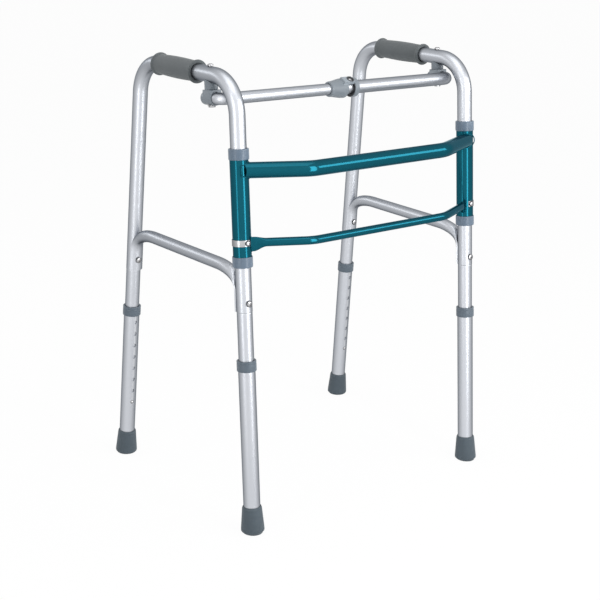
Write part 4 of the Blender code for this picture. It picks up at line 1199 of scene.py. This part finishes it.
def grip(side):
    """Moulded hand grip with a rounded flange at each end."""
    bore = TUBE_R + GAP
    rim = GRIP_FLANGE_R - GRIP_LIP
    neck = GRIP_FLANGE_W + GRIP_FLANGE_R - GRIP_R
    half = [(bore, GRIP_LIP), (bore + GRIP_CHAMFER, 0.0), (rim, 0.0)]
    for step in range(1, FLANGE_STEPS + 1):
        angle = math.pi * step / FLANGE_STEPS - math.pi / 2
        half.append((rim + GRIP_LIP * math.cos(angle), GRIP_FLANGE_W / 2 * (1 + math.sin(angle))))
    shares = [step / GRIP_STEPS for step in range(1, GRIP_STEPS + 1)]
    for share in shares:
        half.append((rim + (GRIP_R - rim) * eased(share), GRIP_FLANGE_W + (neck - GRIP_FLANGE_W) * share))
    for share in shares:
        swell = GRIP_SWELL * math.sin(math.pi / 2 * share)
        half.append((GRIP_R + swell, neck + (GRIP_LENGTH / 2 - neck) * share))
    outline = half + [(radius, GRIP_LENGTH - height) for radius, height in half[-2::-1]]
    origin = Vector((SIDES[side] * HALF_WIDTH, GRIP_FRONT_Y, HANDLE_Z))
    name = side + "_grip"
    mesh = turned(name, outline, frame_matrix(origin, Y_AXIS, X_AXIS), soft=THIN_EDGE, sides=FINE_ROUND)
    dress(name, mesh, GRIP_RUBBER)


# Telescopic lower legs

def leg_tube(side, end):
    """Outer tube with a row of height holes."""
    foot, direction = leg_axis(side, end)
    low = (TIP_FLOOR + GAP) / direction.z
    high = LOWER_TOP_Z / direction.z
    name = side + "_" + end + "_leg_tube"
    outline = ring_outline(LOWER_R - LOWER_WALL, LOWER_R, low, high)
    mesh = turned(name, outline, Matrix.Identity(4), soft=SMALL_EDGE, sides=FINE_ROUND)
    mesh = grown(mesh, HOLE_ROW, ALUMINIUM, count=HOLE_COUNT, pitch=HOLE_PITCH,
                 first=FIRST_HOLE_Z / direction.z, hole_radius=SNAP_R + GAP, reach=2 * LOWER_R)
    mesh.transform(frame_matrix(foot, direction, outward_of_holes(side, end)))
    dress(name, smoothed(mesh), ALUMINIUM)


def leg_collar(side, end):
    """Moulded ring on the top of the lower leg, with a lip over its edge and a groove round it."""
    rise = leg_axis(side, end)[1].z
    top = LEG_COLLAR_TOP / rise
    low = top - LEG_COLLAR_H
    lip = LOWER_TOP_Z / rise + GAP
    seat = LOWER_R + GAP
    inner = INNER_R + GAP
    floor_low = top - GROOVE_DROP + GROOVE_DEPTH
    floor_high = floor_low + GROOVE_FLOOR
    outline = [(seat, low), (LEG_COLLAR_R, low), (LEG_COLLAR_R, floor_low - GROOVE_DEPTH),
               (LEG_COLLAR_R - GROOVE_DEPTH, floor_low), (LEG_COLLAR_R - GROOVE_DEPTH, floor_high),
               (LEG_COLLAR_R, floor_high + GROOVE_DEPTH), (LEG_COLLAR_R, top), (inner, top),
               (inner, lip), (seat, lip)]
    name = side + "_" + end + "_leg_collar"
    dress(name, turned(name, outline, leg_matrix(side, end), soft=LEG_COLLAR_EDGE), DARK_PLASTIC)


def tip(side, end):
    """Rubber ferrule, cut level with the floor, with ringed tread on its sole."""
    floor = Matrix.Translation(leg_axis(side, end)[0])
    bore = LOWER_R + GAP
    below = -TIP_R * FRONT_LEAN * 2
    sole_r = TIP_R - TIP_EDGE
    outline = [(0.0, below), (sole_r, below), (sole_r, 0.0), (TIP_R, TIP_EDGE), (TIP_R, 2 * TIP_EDGE),
               (TIP_TOP_R, TIP_H - TIP_EDGE), (TIP_TOP_R - TIP_EDGE / 2, TIP_H), (bore, TIP_H),
               (bore, TIP_FLOOR), (0.0, TIP_FLOOR)]
    name = side + "_" + end + "_tip"
    mesh = turned(name, outline, leg_matrix(side, end), soft=TIP_SOFT, sides=FINE_ROUND)
    reach = 2 * TIP_R
    cutters = [block((-reach, -reach, -reach), (reach, reach, 0.0), floor, FINE_EDGE)]
    for ring in range(TREAD_RINGS):
        middle = TREAD_INNER + ring * TREAD_PITCH
        groove = ring_outline(middle - TREAD_W / 2, middle + TREAD_W / 2, -TREAD_DEPTH, TREAD_DEPTH)
        cutters.append(turned(name + "_tread", groove, floor, soft=FINE_EDGE))
    dress(name, worked(mesh, cutters), TIP_RUBBER)


def snap_button(side, end):
    """Spring button in the lowest height hole, with its flange inside the inner leg."""
    proud = LOWER_R + SNAP_PROUD
    rim = proud - SNAP_R * SNAP_DOME
    flange_r = SNAP_R + SNAP_FLANGE
    flange_top = math.sqrt((INNER_R - INNER_WALL) ** 2 - flange_r ** 2) - GAP
    outline = [(0.0, flange_top - SNAP_FLANGE), (flange_r, flange_top - SNAP_FLANGE), (flange_r, flange_top),
               (SNAP_R, flange_top), (SNAP_R, rim)] + dome(SNAP_R, rim, proud, KNOB_STEPS)
    name = side + "_" + end + "_snap_button"
    matrix = hole_matrix(side, end, FIRST_HOLE_Z)
    dress(name, turned(name, outline, matrix, soft=SMALL_EDGE, sides=SMALL_ROUND), STEEL)


# Front frame

def sleeve_span():
    """Heights of the sleeve's ends, inside its two collars."""
    rise = COLLAR_END + GAP
    return (SLEEVE_LOW_Z - COLLAR_H / 2 + rise) / UP.z, (SLEEVE_HIGH_Z + COLLAR_H / 2 - rise) / UP.z


def lock_matrix(side):
    """Frame of a lock pin, with Z forward out of the sleeve."""
    return frame_matrix(leg_point(side, "front", LOCK_Z), forward_of(UP), X_AXIS)


def lock_hole(side):
    """Cutter for a lock pin through a sleeve and its strap."""
    return rod(LOCK_PIN_R + GAP, 0.0, 2 * SLEEVE_R, lock_matrix(side))


def sleeve(side):
    """Painted sleeve that turns on the front leg."""
    low, high = sleeve_span()
    name = side + "_sleeve"
    outline = ring_outline(SLEEVE_R - SLEEVE_WALL, SLEEVE_R, low, high)
    dress(name, worked(turned(name, outline, leg_matrix(side, "front")), [lock_hole(side)]), TEAL)


def sleeve_collar(side, level):
    """Bush in the sleeve's end: a rounded cap ring outside, running on the leg."""
    middle = SLEEVE_LOW_Z if level == "lower" else SLEEVE_HIGH_Z
    low = (middle - COLLAR_H / 2) / UP.z
    high = (middle + COLLAR_H / 2) / UP.z
    bore = TUBE_R + TURN_GAP
    seat = SLEEVE_R + TURN_GAP
    if level == "lower":
        step = low + COLLAR_END
        outline = [(bore, low), (COLLAR_R, low), (COLLAR_R, high), (seat, high), (seat, step), (bore, step)]
    else:
        step = high - COLLAR_END
        outline = [(seat, low), (COLLAR_R, low), (COLLAR_R, high), (bore, high), (bore, step), (seat, step)]
    name = side + "_" + level + "_collar"
    dress(name, turned(name, outline, leg_matrix(side, "front"), soft=COLLAR_EDGE), COLLAR_PLASTIC)


def lock_strap(side):
    """Steel spring strap snapped round the outer half of a sleeve."""
    inner = SLEEVE_R + GAP
    outer = inner + STRAP_T
    matrix = frame_matrix(leg_point(side, "front", LOCK_Z), UP, X_AXIS)
    name = side + "_lock_strap"
    outline = ring_outline(inner, outer, -STRAP_H / 2, STRAP_H / 2)
    mesh = turned(name, outline, matrix, soft=SMALL_EDGE)
    near, far = sorted((-SIDES[side] * STRAP_REACH, -SIDES[side] * 2 * outer))
    gap = block((near, -2 * outer, -STRAP_H), (far, 2 * outer, STRAP_H), matrix, FINE_EDGE)
    dress(name, worked(mesh, [gap, lock_hole(side)], soft=THIN_EDGE), STEEL)


def lock_pin(side):
    """Round-headed pull pin of the step lock."""
    seat = SLEEVE_R + STRAP_T + 2 * GAP
    outline = [(0.0, TUBE_R + GAP), (LOCK_PIN_R, TUBE_R + GAP), (LOCK_PIN_R, seat), (LOCK_KNOB_R, seat)]
    outline += dome(LOCK_KNOB_R, seat + LOCK_KNOB_H * KNOB_RIM, seat + LOCK_KNOB_H, KNOB_STEPS)
    name = side + "_lock_pin"
    dress(name, turned(name, outline, lock_matrix(side), soft=SMALL_EDGE, sides=SMALL_ROUND), STEEL)
    # Black ring of painted shade round the knob.
    painted_shade_ring(name, LOCK_KNOB_R, lock_matrix(side) @ Matrix.Translation((0.0, 0.0, seat)))


def bowed_path(z):
    """Centre line of a front bar: straight in the middle, bowed forward of the legs."""
    start = leg_point("left", "front", z) + Vector((0.0, -BAR_START, 0.0))
    y_bow = leg_point("left", "front", z).y - BAR_BOW
    corners = [start, Vector((-BAR_BEND_X, y_bow, z)), Vector((BAR_BEND_X, y_bow, z)),
               Vector((-start.x, start.y, z))]
    return bent_path(corners, (BAR_BEND, BAR_BEND))


def sleeve_frame(side):
    """Frame on a front leg's axis, with X towards the other leg."""
    return frame_matrix(leg_axis(side, "front")[0], UP, X_AXIS * -SIDES[side])


def sleeve_seats(ends_too):
    """Cutters that shape a front bar's ends to the two sleeves."""
    low, high = sleeve_span()
    cutters = []
    reach = 3 * SLEEVE_R
    for side in SIDES:
        cutters.append(rod(SLEEVE_R + GAP, low, high, sleeve_frame(side), 2 * ROUND))
        if ends_too:
            cutters.append(block((-reach, -reach, low), (0.0, reach, high), sleeve_frame(side), FINE_EDGE))
    return cutters


def upper_cross_bar():
    """Thick front bar, welded to the sleeves."""
    name = "upper_cross_bar"
    mesh = tube(name, bowed_path(UPPER_BAR_Z), Z_AXIS, UPPER_BAR_R, UPPER_BAR_WALL)
    dress(name, worked(mesh, sleeve_seats(True)), TEAL)


def lower_bar_points():
    """Centre line of the lower bar, with close points where its ends are pressed flat."""
    path = bowed_path(LOWER_BAR_Z)
    toward = (path[1] - path[0]).normalized()
    shares = [FLAT_START + (1 - FLAT_START) * step / FLAT_STEPS for step in range(FLAT_STEPS + 1)]
    lead = [path[0] + toward * (SLEEVE_R + LOWER_BAR_FLAT_LENGTH * share) for share in shares]
    mirrored = [Vector((-point.x, point.y, point.z)) for point in lead[::-1]]
    return path[:1] + lead + path[1:-1] + mirrored + path[-1:]


def lower_bar_rows(radius, flatten):
    """Sections of the lower bar, pressed tall and thin near its ends if flatten is set."""
    points = lower_bar_points()
    ends = (points[0], points[-1])
    if not flatten:
        points = points[FLAT_STEPS + 1:-FLAT_STEPS - 1]
    rows = []
    for point, tangent in zip(points, path_tangents(points)):
        reach = min((point - end).length for end in ends) - SLEEVE_R
        share = min(max(reach / LOWER_BAR_FLAT_LENGTH, 0.0), 1.0)
        weight = 1.0 - eased(share) if flatten else 0.0
        tall = radius + (LOWER_BAR_FLAT_H - radius) * weight
        thick = radius + (LOWER_BAR_FLAT_T - radius) * weight
        across = tangent.cross(Z_AXIS).normalized()
        centre = point - Z_AXIS * (LOWER_BAR_FLAT_DROP * weight)
        rows.append([centre + across * (thick * math.cos(angle)) + Z_AXIS * (tall * math.sin(angle))
                     for angle in turns()])
    return rows


def lower_cross_bar():
    """Thin bar with its ends pressed flat, welded to the sleeves."""
    name = "lower_cross_bar"
    bore = skin(name + "_bore", lower_bar_rows(LOWER_BAR_R - LOWER_BAR_WALL, False), capped=True)
    middle = Vector((0.0, leg_point("left", "front", LOWER_BAR_Z).y - BAR_BOW, LOWER_BAR_Z))
    drain = rod(DRAIN_R, -2 * LOWER_BAR_R, 0.0, Matrix.Translation(middle))
    mesh = skin(name, lower_bar_rows(LOWER_BAR_R, True), capped=True)
    dress(name, worked(mesh, [bore, drain] + sleeve_seats(False)), TEAL)


def seam_on_sleeve(side, z, half_across, half_up):
    """Loop where a front bar of oval section meets a sleeve."""
    path = bowed_path(z)
    start, ahead = (path[0], path[1]) if side == "left" else (path[-1], path[-2])
    along = (ahead - start).normalized()
    across = along.cross(Z_AXIS).normalized()
    foot = leg_axis(side, "front")[0]
    flat_along = along - UP * along.dot(UP)
    a = flat_along.length_squared
    points = []
    for angle in turns(2 * ROUND):
        point = start + across * (half_across * math.cos(angle)) + Z_AXIS * (half_up * math.sin(angle))
        off = point - foot
        off = off - UP * off.dot(UP)
        b = off.dot(flat_along)
        c = off.length_squared - (SLEEVE_R + GAP / 2) ** 2
        points.append(point + along * ((-b + math.sqrt(max(b * b - a * c, 0.0))) / a))
    return points


def weld(side, label, z, half_across, half_up):
    """Painted weld bead round a front bar's end."""
    name = side + "_" + label + "_weld"
    points = seam_on_sleeve(side, z, half_across, half_up)
    mesh = bpy.data.meshes.new(name)
    mesh.from_pydata(points, [(k, (k + 1) % len(points)) for k in range(len(points))], [])
    mesh = grown(mesh, WELD_BEAD, TEAL, bead_radius=WELD_R, ripple_pitch=WELD_PITCH, ripple_depth=WELD_RIPPLE)
    carried(name, mesh, TEAL, side + "_sleeve")


# Top bar

def release_matrix():
    """Frame of the release button: X along the bar, Z up and leaning forward."""
    return bar_matrix(JOINT_X, -TOP_BAR_FORWARD) @ Matrix.Rotation(RELEASE_TILT, 4, "X")


def top_bar_tube(side):
    """Half of the top bar, its outer end bent rearwards into its cap."""
    if side == "left":
        inner_x = JOINT_X - JOINT_GAP - HOUSING_FLOOR - GAP
    else:
        inner_x = JOINT_X - JOINT_GAP + 3 * GAP
    outer_x = SIDES[side] * HALF_WIDTH
    corners = [Vector((inner_x, -TOP_BAR_FORWARD, 0.0)), Vector((outer_x, -TOP_BAR_FORWARD, 0.0)),
               Vector((outer_x, TOP_BAR_TAIL, 0.0))]
    path = [bar_matrix() @ point for point in bent_path(corners, (TOP_BAR_BEND,))]
    name = side + "_bar_tube"
    radius = TOP_BAR_RADII[side]
    reach = 2 * radius
    holes = [rod(BOLT_R + GAP, -reach, reach, pivot_matrix(side))]
    if side == "right":
        holes.append(rod(RELEASE_STEM_R + 2 * GAP, 0.0, reach, release_matrix()))
    dress(name, worked(tube(name, path, UP, radius, TOP_BAR_WALL), holes), ALUMINIUM)


def cap_radius(side):
    """Outer radius of a top bar's end cap."""
    return TOP_BAR_RADII[side] + GAP + CAP_WALL


def cap_top(side):
    """Height of the cap's pad over the top bar's centre line."""
    return cap_radius(side) + PAD_RISE


def bar_cap(side):
    """Moulded cap on the bent end of the top bar, with a flat pad under the spacer."""
    outer = cap_radius(side)
    rim = CAP_REAR - outer * CAP_DOME
    outline = [(0.0, -CAP_FRONT), (outer, -CAP_FRONT), (outer, rim)] + dome(outer, rim, CAP_REAR, CAP_STEPS)
    name = side + "_bar_cap"
    place = pivot_matrix(side)
    rearward = place @ Matrix.Rotation(-math.pi / 2, 4, "X")
    body = turned(name, outline, rearward, soft=SMALL_EDGE)
    pad = block((-PAD_HALF, PAD_INSET - CAP_FRONT, 0.0), (PAD_HALF, CAP_REAR - PAD_HALF, cap_top(side)),
                place, PAD_EDGE)
    body = worked(body, [pad], operation="UNION")
    hollow = rod(TOP_BAR_RADII[side] + GAP, -2 * CAP_FRONT, TOP_BAR_TAIL + GAP, rearward, ROUND)
    bolt = rod(BOLT_R + GAP, -2 * outer, 2 * outer, place)
    dress(name, worked(body, [hollow, bolt], soft=SMALL_EDGE), GREY_PLASTIC)


def handle_rise():
    """Height of the handle's centre line over the top bar, along the pivot bolt."""
    return (HANDLE_Z - TOP_BAR_Z) / UP.z


def spacer(side):
    """Spacer between the handle and the top bar's cap, hollowed to fit the handle."""
    low = cap_top(side) + GAP
    name = side + "_spacer"
    place = pivot_matrix(side)
    mesh = turned(name, ring_outline(BOLT_R + GAP, SPACER_R, low, handle_rise()), place, soft=SPACER_EDGE)
    origin = Vector((SIDES[side] * HALF_WIDTH, place.translation.y, HANDLE_Z))
    reach = 2 * SPACER_R
    handle = rod(TUBE_R + GAP, -reach, reach, frame_matrix(origin, Y_AXIS, X_AXIS), 2 * ROUND)
    dress(name, worked(mesh, [handle], soft=SMALL_EDGE), GREY_PLASTIC)


def pivot_bolt(side):
    """Domed bolt with a socket through the handle; the left one carries the top bar."""
    seat = handle_rise() + TUBE_R / UP.z + BOLT_HEAD_R * FRONT_LEAN + GAP
    top = seat + BOLT_HEAD_H
    end = -cap_radius(side) - GAP - WASHER_H - NUT_H - BOLT_END
    if side == "right":
        end = cap_top(side) + GAP
    outline = [(0.0, end), (BOLT_R, end), (BOLT_R, seat), (BOLT_HEAD_R, seat)]
    outline += dome(BOLT_HEAD_R, seat + BOLT_HEAD_H * BOLT_RIM, top, BUTTON_STEPS)
    name = side + "_pivot_bolt"
    place = pivot_matrix(side)
    socket = rod(SOCKET_R, seat + BOLT_HEAD_H / 2, top + BOLT_HEAD_H, place, HEXAGON)
    mesh = turned(name, outline, place, soft=SMALL_EDGE, sides=SMALL_ROUND)
    dress(name, worked(mesh, [socket], soft=SOCKET_EDGE), STEEL)


def pivot_nut(side):
    """Flanged nut under the cap; the right one also has the stud that stays in its cap."""
    top = -cap_radius(side) - GAP
    shoulder = top - WASHER_H
    low = shoulder - NUT_H
    name = side + "_pivot_nut"
    place = pivot_matrix(side)
    flange = turned(name, [(0.0, shoulder), (WASHER_R, shoulder), (WASHER_R, top), (0.0, top)], place)
    hexagon = rod(NUT_R, low, shoulder + WASHER_H / 2, place, HEXAGON)
    mesh = worked(flange, [hexagon], operation="UNION")
    if side == "left":
        mesh = worked(mesh, [rod(BOLT_R + GAP, 2 * low, 0.0, place)], soft=EDGE)
    else:
        stud = rod(BOLT_R, low - BOLT_END, cap_radius(side) - GAP, place)
        mesh = worked(mesh, [stud], soft=EDGE, operation="UNION")
    dress(name, mesh, STEEL)


def ear(x_from, x_to, low, high):
    """Plate from a joint piece to the hinge pin, with its rounded eye."""
    near = (min(x_from, x_to), HINGE_Y - EAR_R, low)
    far = (max(x_from, x_to), HINGE_Y + EAR_R, high)
    return [block(near, far, bar_matrix(), THIN_EDGE), rod(EAR_R, low, high, hinge_matrix(), ROUND)]


def pin_hole():
    """Cutter for the hinge pin."""
    return rod(HINGE_PIN_R + GAP, -2 * EAR_TOP, 2 * EAR_TOP, hinge_matrix())


def housing_outline(left, right):
    """Outline of the bell, thin at its left end and flared towards the joint."""
    outline = [(0.0, left), (HOUSING_THIN_R - HOUSING_EDGE, left), (HOUSING_THIN_R, left + HOUSING_BEVEL)]
    for step in range(1, FLARE_STEPS):
        share = step / FLARE_STEPS
        outline.append((HOUSING_THIN_R + (HOUSING_R - HOUSING_THIN_R) * eased(share ** FLARE_SHAPE),
                        left + HOUSING_BEVEL + (HOUSING_LENGTH - 2 * HOUSING_BEVEL) * share))
    return outline + [(HOUSING_R, right - HOUSING_BEVEL), (HOUSING_R - HOUSING_EDGE, right), (0.0, right)]


def joint_housing():
    """Bell-shaped housing on the left half of the top bar, with a tab over the joint."""
    right = JOINT_X - JOINT_GAP
    left = right - HOUSING_LENGTH
    seat = right - HOUSING_FLOOR
    name = "joint_housing"
    body = turned(name, housing_outline(left, right), along_bar(), soft=HOUSING_SOFT)
    added = [block((-JOINT_GAP - TAB_BACK, -TAB_HALF, TAB_LOW), (JOINT_GAP - 2 * GAP, TAB_HALF, TAB_TOP),
                   release_matrix(), TAB_EDGE)]
    for low, high in ((LUG_HALF + GAP, EAR_TOP), (-EAR_TOP, -LUG_HALF - GAP)):
        added += ear(seat, JOINT_X, low, high)
    body = worked(body, added, operation="UNION")
    bore = rod(TOP_BAR_RADII["left"] + GAP, left - HOUSING_FLOOR, seat, along_bar(), ROUND)
    stem = rod(RELEASE_STEM_R + GAP, 0.0, 2 * TAB_TOP, release_matrix())
    socket = rod(RELEASE_SOCKET_R, TAB_LOW + SOCKET_FLOOR, 2 * TAB_TOP, release_matrix())
    dress(name, worked(body, [bore, stem, socket, pin_hole()], soft=EDGE), GREY_PLASTIC)


def joint_collar():
    """Collar on the right half of the top bar, with the lug that turns on the hinge pin."""
    left = JOINT_X + JOINT_GAP
    right = left + JOINT_COLLAR_L
    name = "joint_collar"
    outline = [(0.0, left), (HOUSING_R - HOUSING_EDGE, left), (HOUSING_R, left + HOUSING_EDGE),
               (HOUSING_R, right - HOUSING_BEVEL), (HOUSING_R - HOUSING_BEVEL, right), (0.0, right)]
    body = turned(name, outline, along_bar(), soft=JOINT_COLLAR_EDGE)
    lug = ear(JOINT_X, left + JOINT_COLLAR_L / 2, -LUG_HALF, LUG_HALF)
    body = worked(body, lug, operation="UNION")
    bore = rod(TOP_BAR_RADII["right"] + GAP, left - HOUSING_FLOOR, right + HOUSING_FLOOR, along_bar(), ROUND)
    dress(name, worked(body, [bore, pin_hole()], soft=EDGE), GREY_PLASTIC)


def hinge_pin():
    """Pin with a rounded head at each end."""
    end = EAR_TOP + GAP
    rim = end + HINGE_RIM * HINGE_HEAD_H
    top = end + HINGE_HEAD_H
    outline = [(0.0, -top), (HINGE_HEAD_R, -rim), (HINGE_HEAD_R, -end), (HINGE_PIN_R, -end),
               (HINGE_PIN_R, end), (HINGE_HEAD_R, end), (HINGE_HEAD_R, rim), (0.0, top)]
    dress("hinge_pin", turned("hinge_pin", outline, hinge_matrix(), sides=SMALL_ROUND), STEEL)


def release_button():
    """Domed button in the joint's tab; its stem drops into the right tube."""
    seat = TAB_LOW + SOCKET_FLOOR + RELEASE_TRAVEL + GAP
    stem = TOP_BAR_RADII["right"] + 2 * GAP
    outline = [(0.0, stem), (RELEASE_STEM_R, stem), (RELEASE_STEM_R, seat), (RELEASE_R, seat)]
    outline += dome(RELEASE_R, seat + RELEASE_PROUD * KNOB_RIM, seat + RELEASE_PROUD, BUTTON_STEPS)
    mesh = turned("release_button", outline, release_matrix(), soft=SMALL_EDGE, sides=SMALL_ROUND)
    dress("release_button", mesh, STEEL)


def button_ring():
    """Black ring of painted shadow in the socket round the release button, with a flange on the tab."""
    outline = ring_outline(RELEASE_R + GAP, RELEASE_SOCKET_R + RING_W, TAB_LOW + SOCKET_FLOOR - GAP,
                           TAB_TOP + 2 * GAP)
    mesh = turned("button_ring", outline, release_matrix(), soft=SMALL_EDGE, sides=SMALL_ROUND)
    add_painted_shade("button_ring", mesh, "joint_housing")


def collar_liner():
    """Black ring of painted shadow on the collar's face, open at the back for the hinge."""
    face = JOINT_X + JOINT_GAP
    inner = TOP_BAR_RADII["right"] + 2 * GAP
    outline = ring_outline(inner, HOUSING_R - HOUSING_EDGE, face - RING_W, face + GAP)
    mesh = turned("collar_liner", outline, along_bar(), soft=THIN_EDGE)
    reach = 2 * HOUSING_R
    opening = block((0.0, HINGE_Y - 2 * EAR_R, -reach), (2 * face, HINGE_Y + reach, reach), bar_matrix())
    add_painted_shade("collar_liner", worked(mesh, [opening]), "joint_collar")


for side in SIDES:
    for make in (frame_tube, brace, brace_screws, grip, spacer, sleeve, lock_strap, lock_pin,
                 top_bar_tube, bar_cap, pivot_bolt, pivot_nut):
        make(side)
    for level in ("lower", "upper"):
        sleeve_collar(side, level)
    for end in ENDS:
        for make in (inner_leg, leg_tube, leg_collar, tip, snap_button):
            make(side, end)
    weld(side, "upper", UPPER_BAR_Z, UPPER_BAR_R, UPPER_BAR_R)
    weld(side, "lower", LOWER_BAR_Z - LOWER_BAR_FLAT_DROP, LOWER_BAR_FLAT_T, LOWER_BAR_FLAT_H)
for make in (upper_cross_bar, lower_cross_bar, joint_housing, joint_collar, hinge_pin, release_button,
             button_ring, collar_liner):
    make()


# Floor, light and camera

def seen_directly(tree):
    """High for rays that come from the camera, a reflection or through glass."""
    path = add_node(tree, "ShaderNodeLightPath")
    seen = maths(tree, "MAXIMUM", path.outputs["Is Camera Ray"], path.outputs["Is Glossy Ray"])
    return maths(tree, "MAXIMUM", seen, path.outputs["Is Transmission Ray"])


def show_white(tree, share, lit, white, output):
    """Mixes a lit shader with a plain white one on its way to the tree's output."""
    mix = add_node(tree, "ShaderNodeMixShader", {0: share, 1: lit.outputs[0], 2: white.outputs[0]})
    tree.links.new(mix.outputs[0], tree.nodes[output].inputs["Surface"])


def studio_world():
    """White backdrop that lights the object less than it shows."""
    world = bpy.data.worlds.new("studio")
    bpy.context.scene.world = world
    world.use_nodes = True
    tree = world.node_tree
    soft = tree.nodes["Background"]
    soft.inputs["Color"].default_value = WHITE
    soft.inputs["Strength"].default_value = WORLD_LEVEL
    white = add_node(tree, "ShaderNodeBackground", {"Color": WHITE})
    show_white(tree, seen_directly(tree), soft, white, "World Output")


def studio_floor():
    """Plain white floor that keeps the object's shadow."""
    work = bmesh.new()
    bmesh.ops.create_grid(work, x_segments=1, y_segments=1, size=FLOOR_HALF)
    mesh = mesh_of(work, "floor")
    material = bpy.data.materials.new("floor_white")
    material.use_nodes = True
    tree = material.node_tree
    matte = tree.nodes["Principled BSDF"]
    matte.inputs["Base Color"].default_value = FLOOR_COLOUR
    matte.inputs["Roughness"].default_value = FLOOR_ROUGHNESS
    matte.inputs["Specular IOR Level"].default_value = FLOOR_GLOSS
    share = times(tree, seen_directly(tree), FLOOR_LIFT)
    show_white(tree, share, matte, add_node(tree, "ShaderNodeEmission"), "Material Output")
    mesh.materials.append(material)
    shown("floor", mesh)


def soft_lamp(name, place, aim, size, watts):
    """Rectangular lamp, unseen by the camera."""
    lamp = bpy.data.lights.new(name, "AREA")
    lamp.shape = "RECTANGLE"
    lamp.size, lamp.size_y = size
    lamp.energy = watts
    obj = shown(name, lamp)
    obj.location = place
    obj.rotation_euler = (Vector(aim) - Vector(place)).to_track_quat("-Z", "Y").to_euler()
    obj.visible_camera = False


def photo_camera():
    """Camera at the photograph's place and angle."""
    camera = bpy.data.cameras.new("camera")
    camera.sensor_width = SENSOR_MM
    camera.lens = LENS_MM
    camera.shift_x, camera.shift_y = LENS_SHIFT
    obj = shown("camera", camera)
    yaw, pitch, roll = (math.radians(angle) for angle in CAMERA_TURN)
    level = Matrix.Rotation(yaw, 4, "Z") @ Matrix.Rotation(math.pi / 2 - pitch, 4, "X")
    obj.matrix_world = Matrix.Translation(CAMERA_PLACE) @ level @ Matrix.Rotation(roll, 4, "Z")
    bpy.context.scene.camera = obj


studio_world()
studio_floor()
# Each lamp: its place, what it is aimed at, its width and height, and its watts
soft_lamp("front_strip", (0.08, -1.32, 0.72), (0.04, -0.2, 0.72), (0.34, 1.36), 8.0)
soft_lamp("left_strip", (-1.31, -0.47, 0.72), (-0.25, -0.2, 0.72), (0.26, 1.36), 3.2)
soft_lamp("right_front", (1.35, -1.75, 1.25), (0.0, -0.1, 0.65), (1.2, 0.8), 16.0)
soft_lamp("rear_left", (-1.2, 1.8, 1.35), (-0.25, 0.0, 0.44), (1.2, 0.5), 5.0)
soft_lamp("overhead", (-0.3, -0.4, 2.6), (0.0, 0.0, 0.4), (2.0, 2.0), 16.0)
photo_camera()
bpy.context.scene.view_settings.view_transform = "Standard"
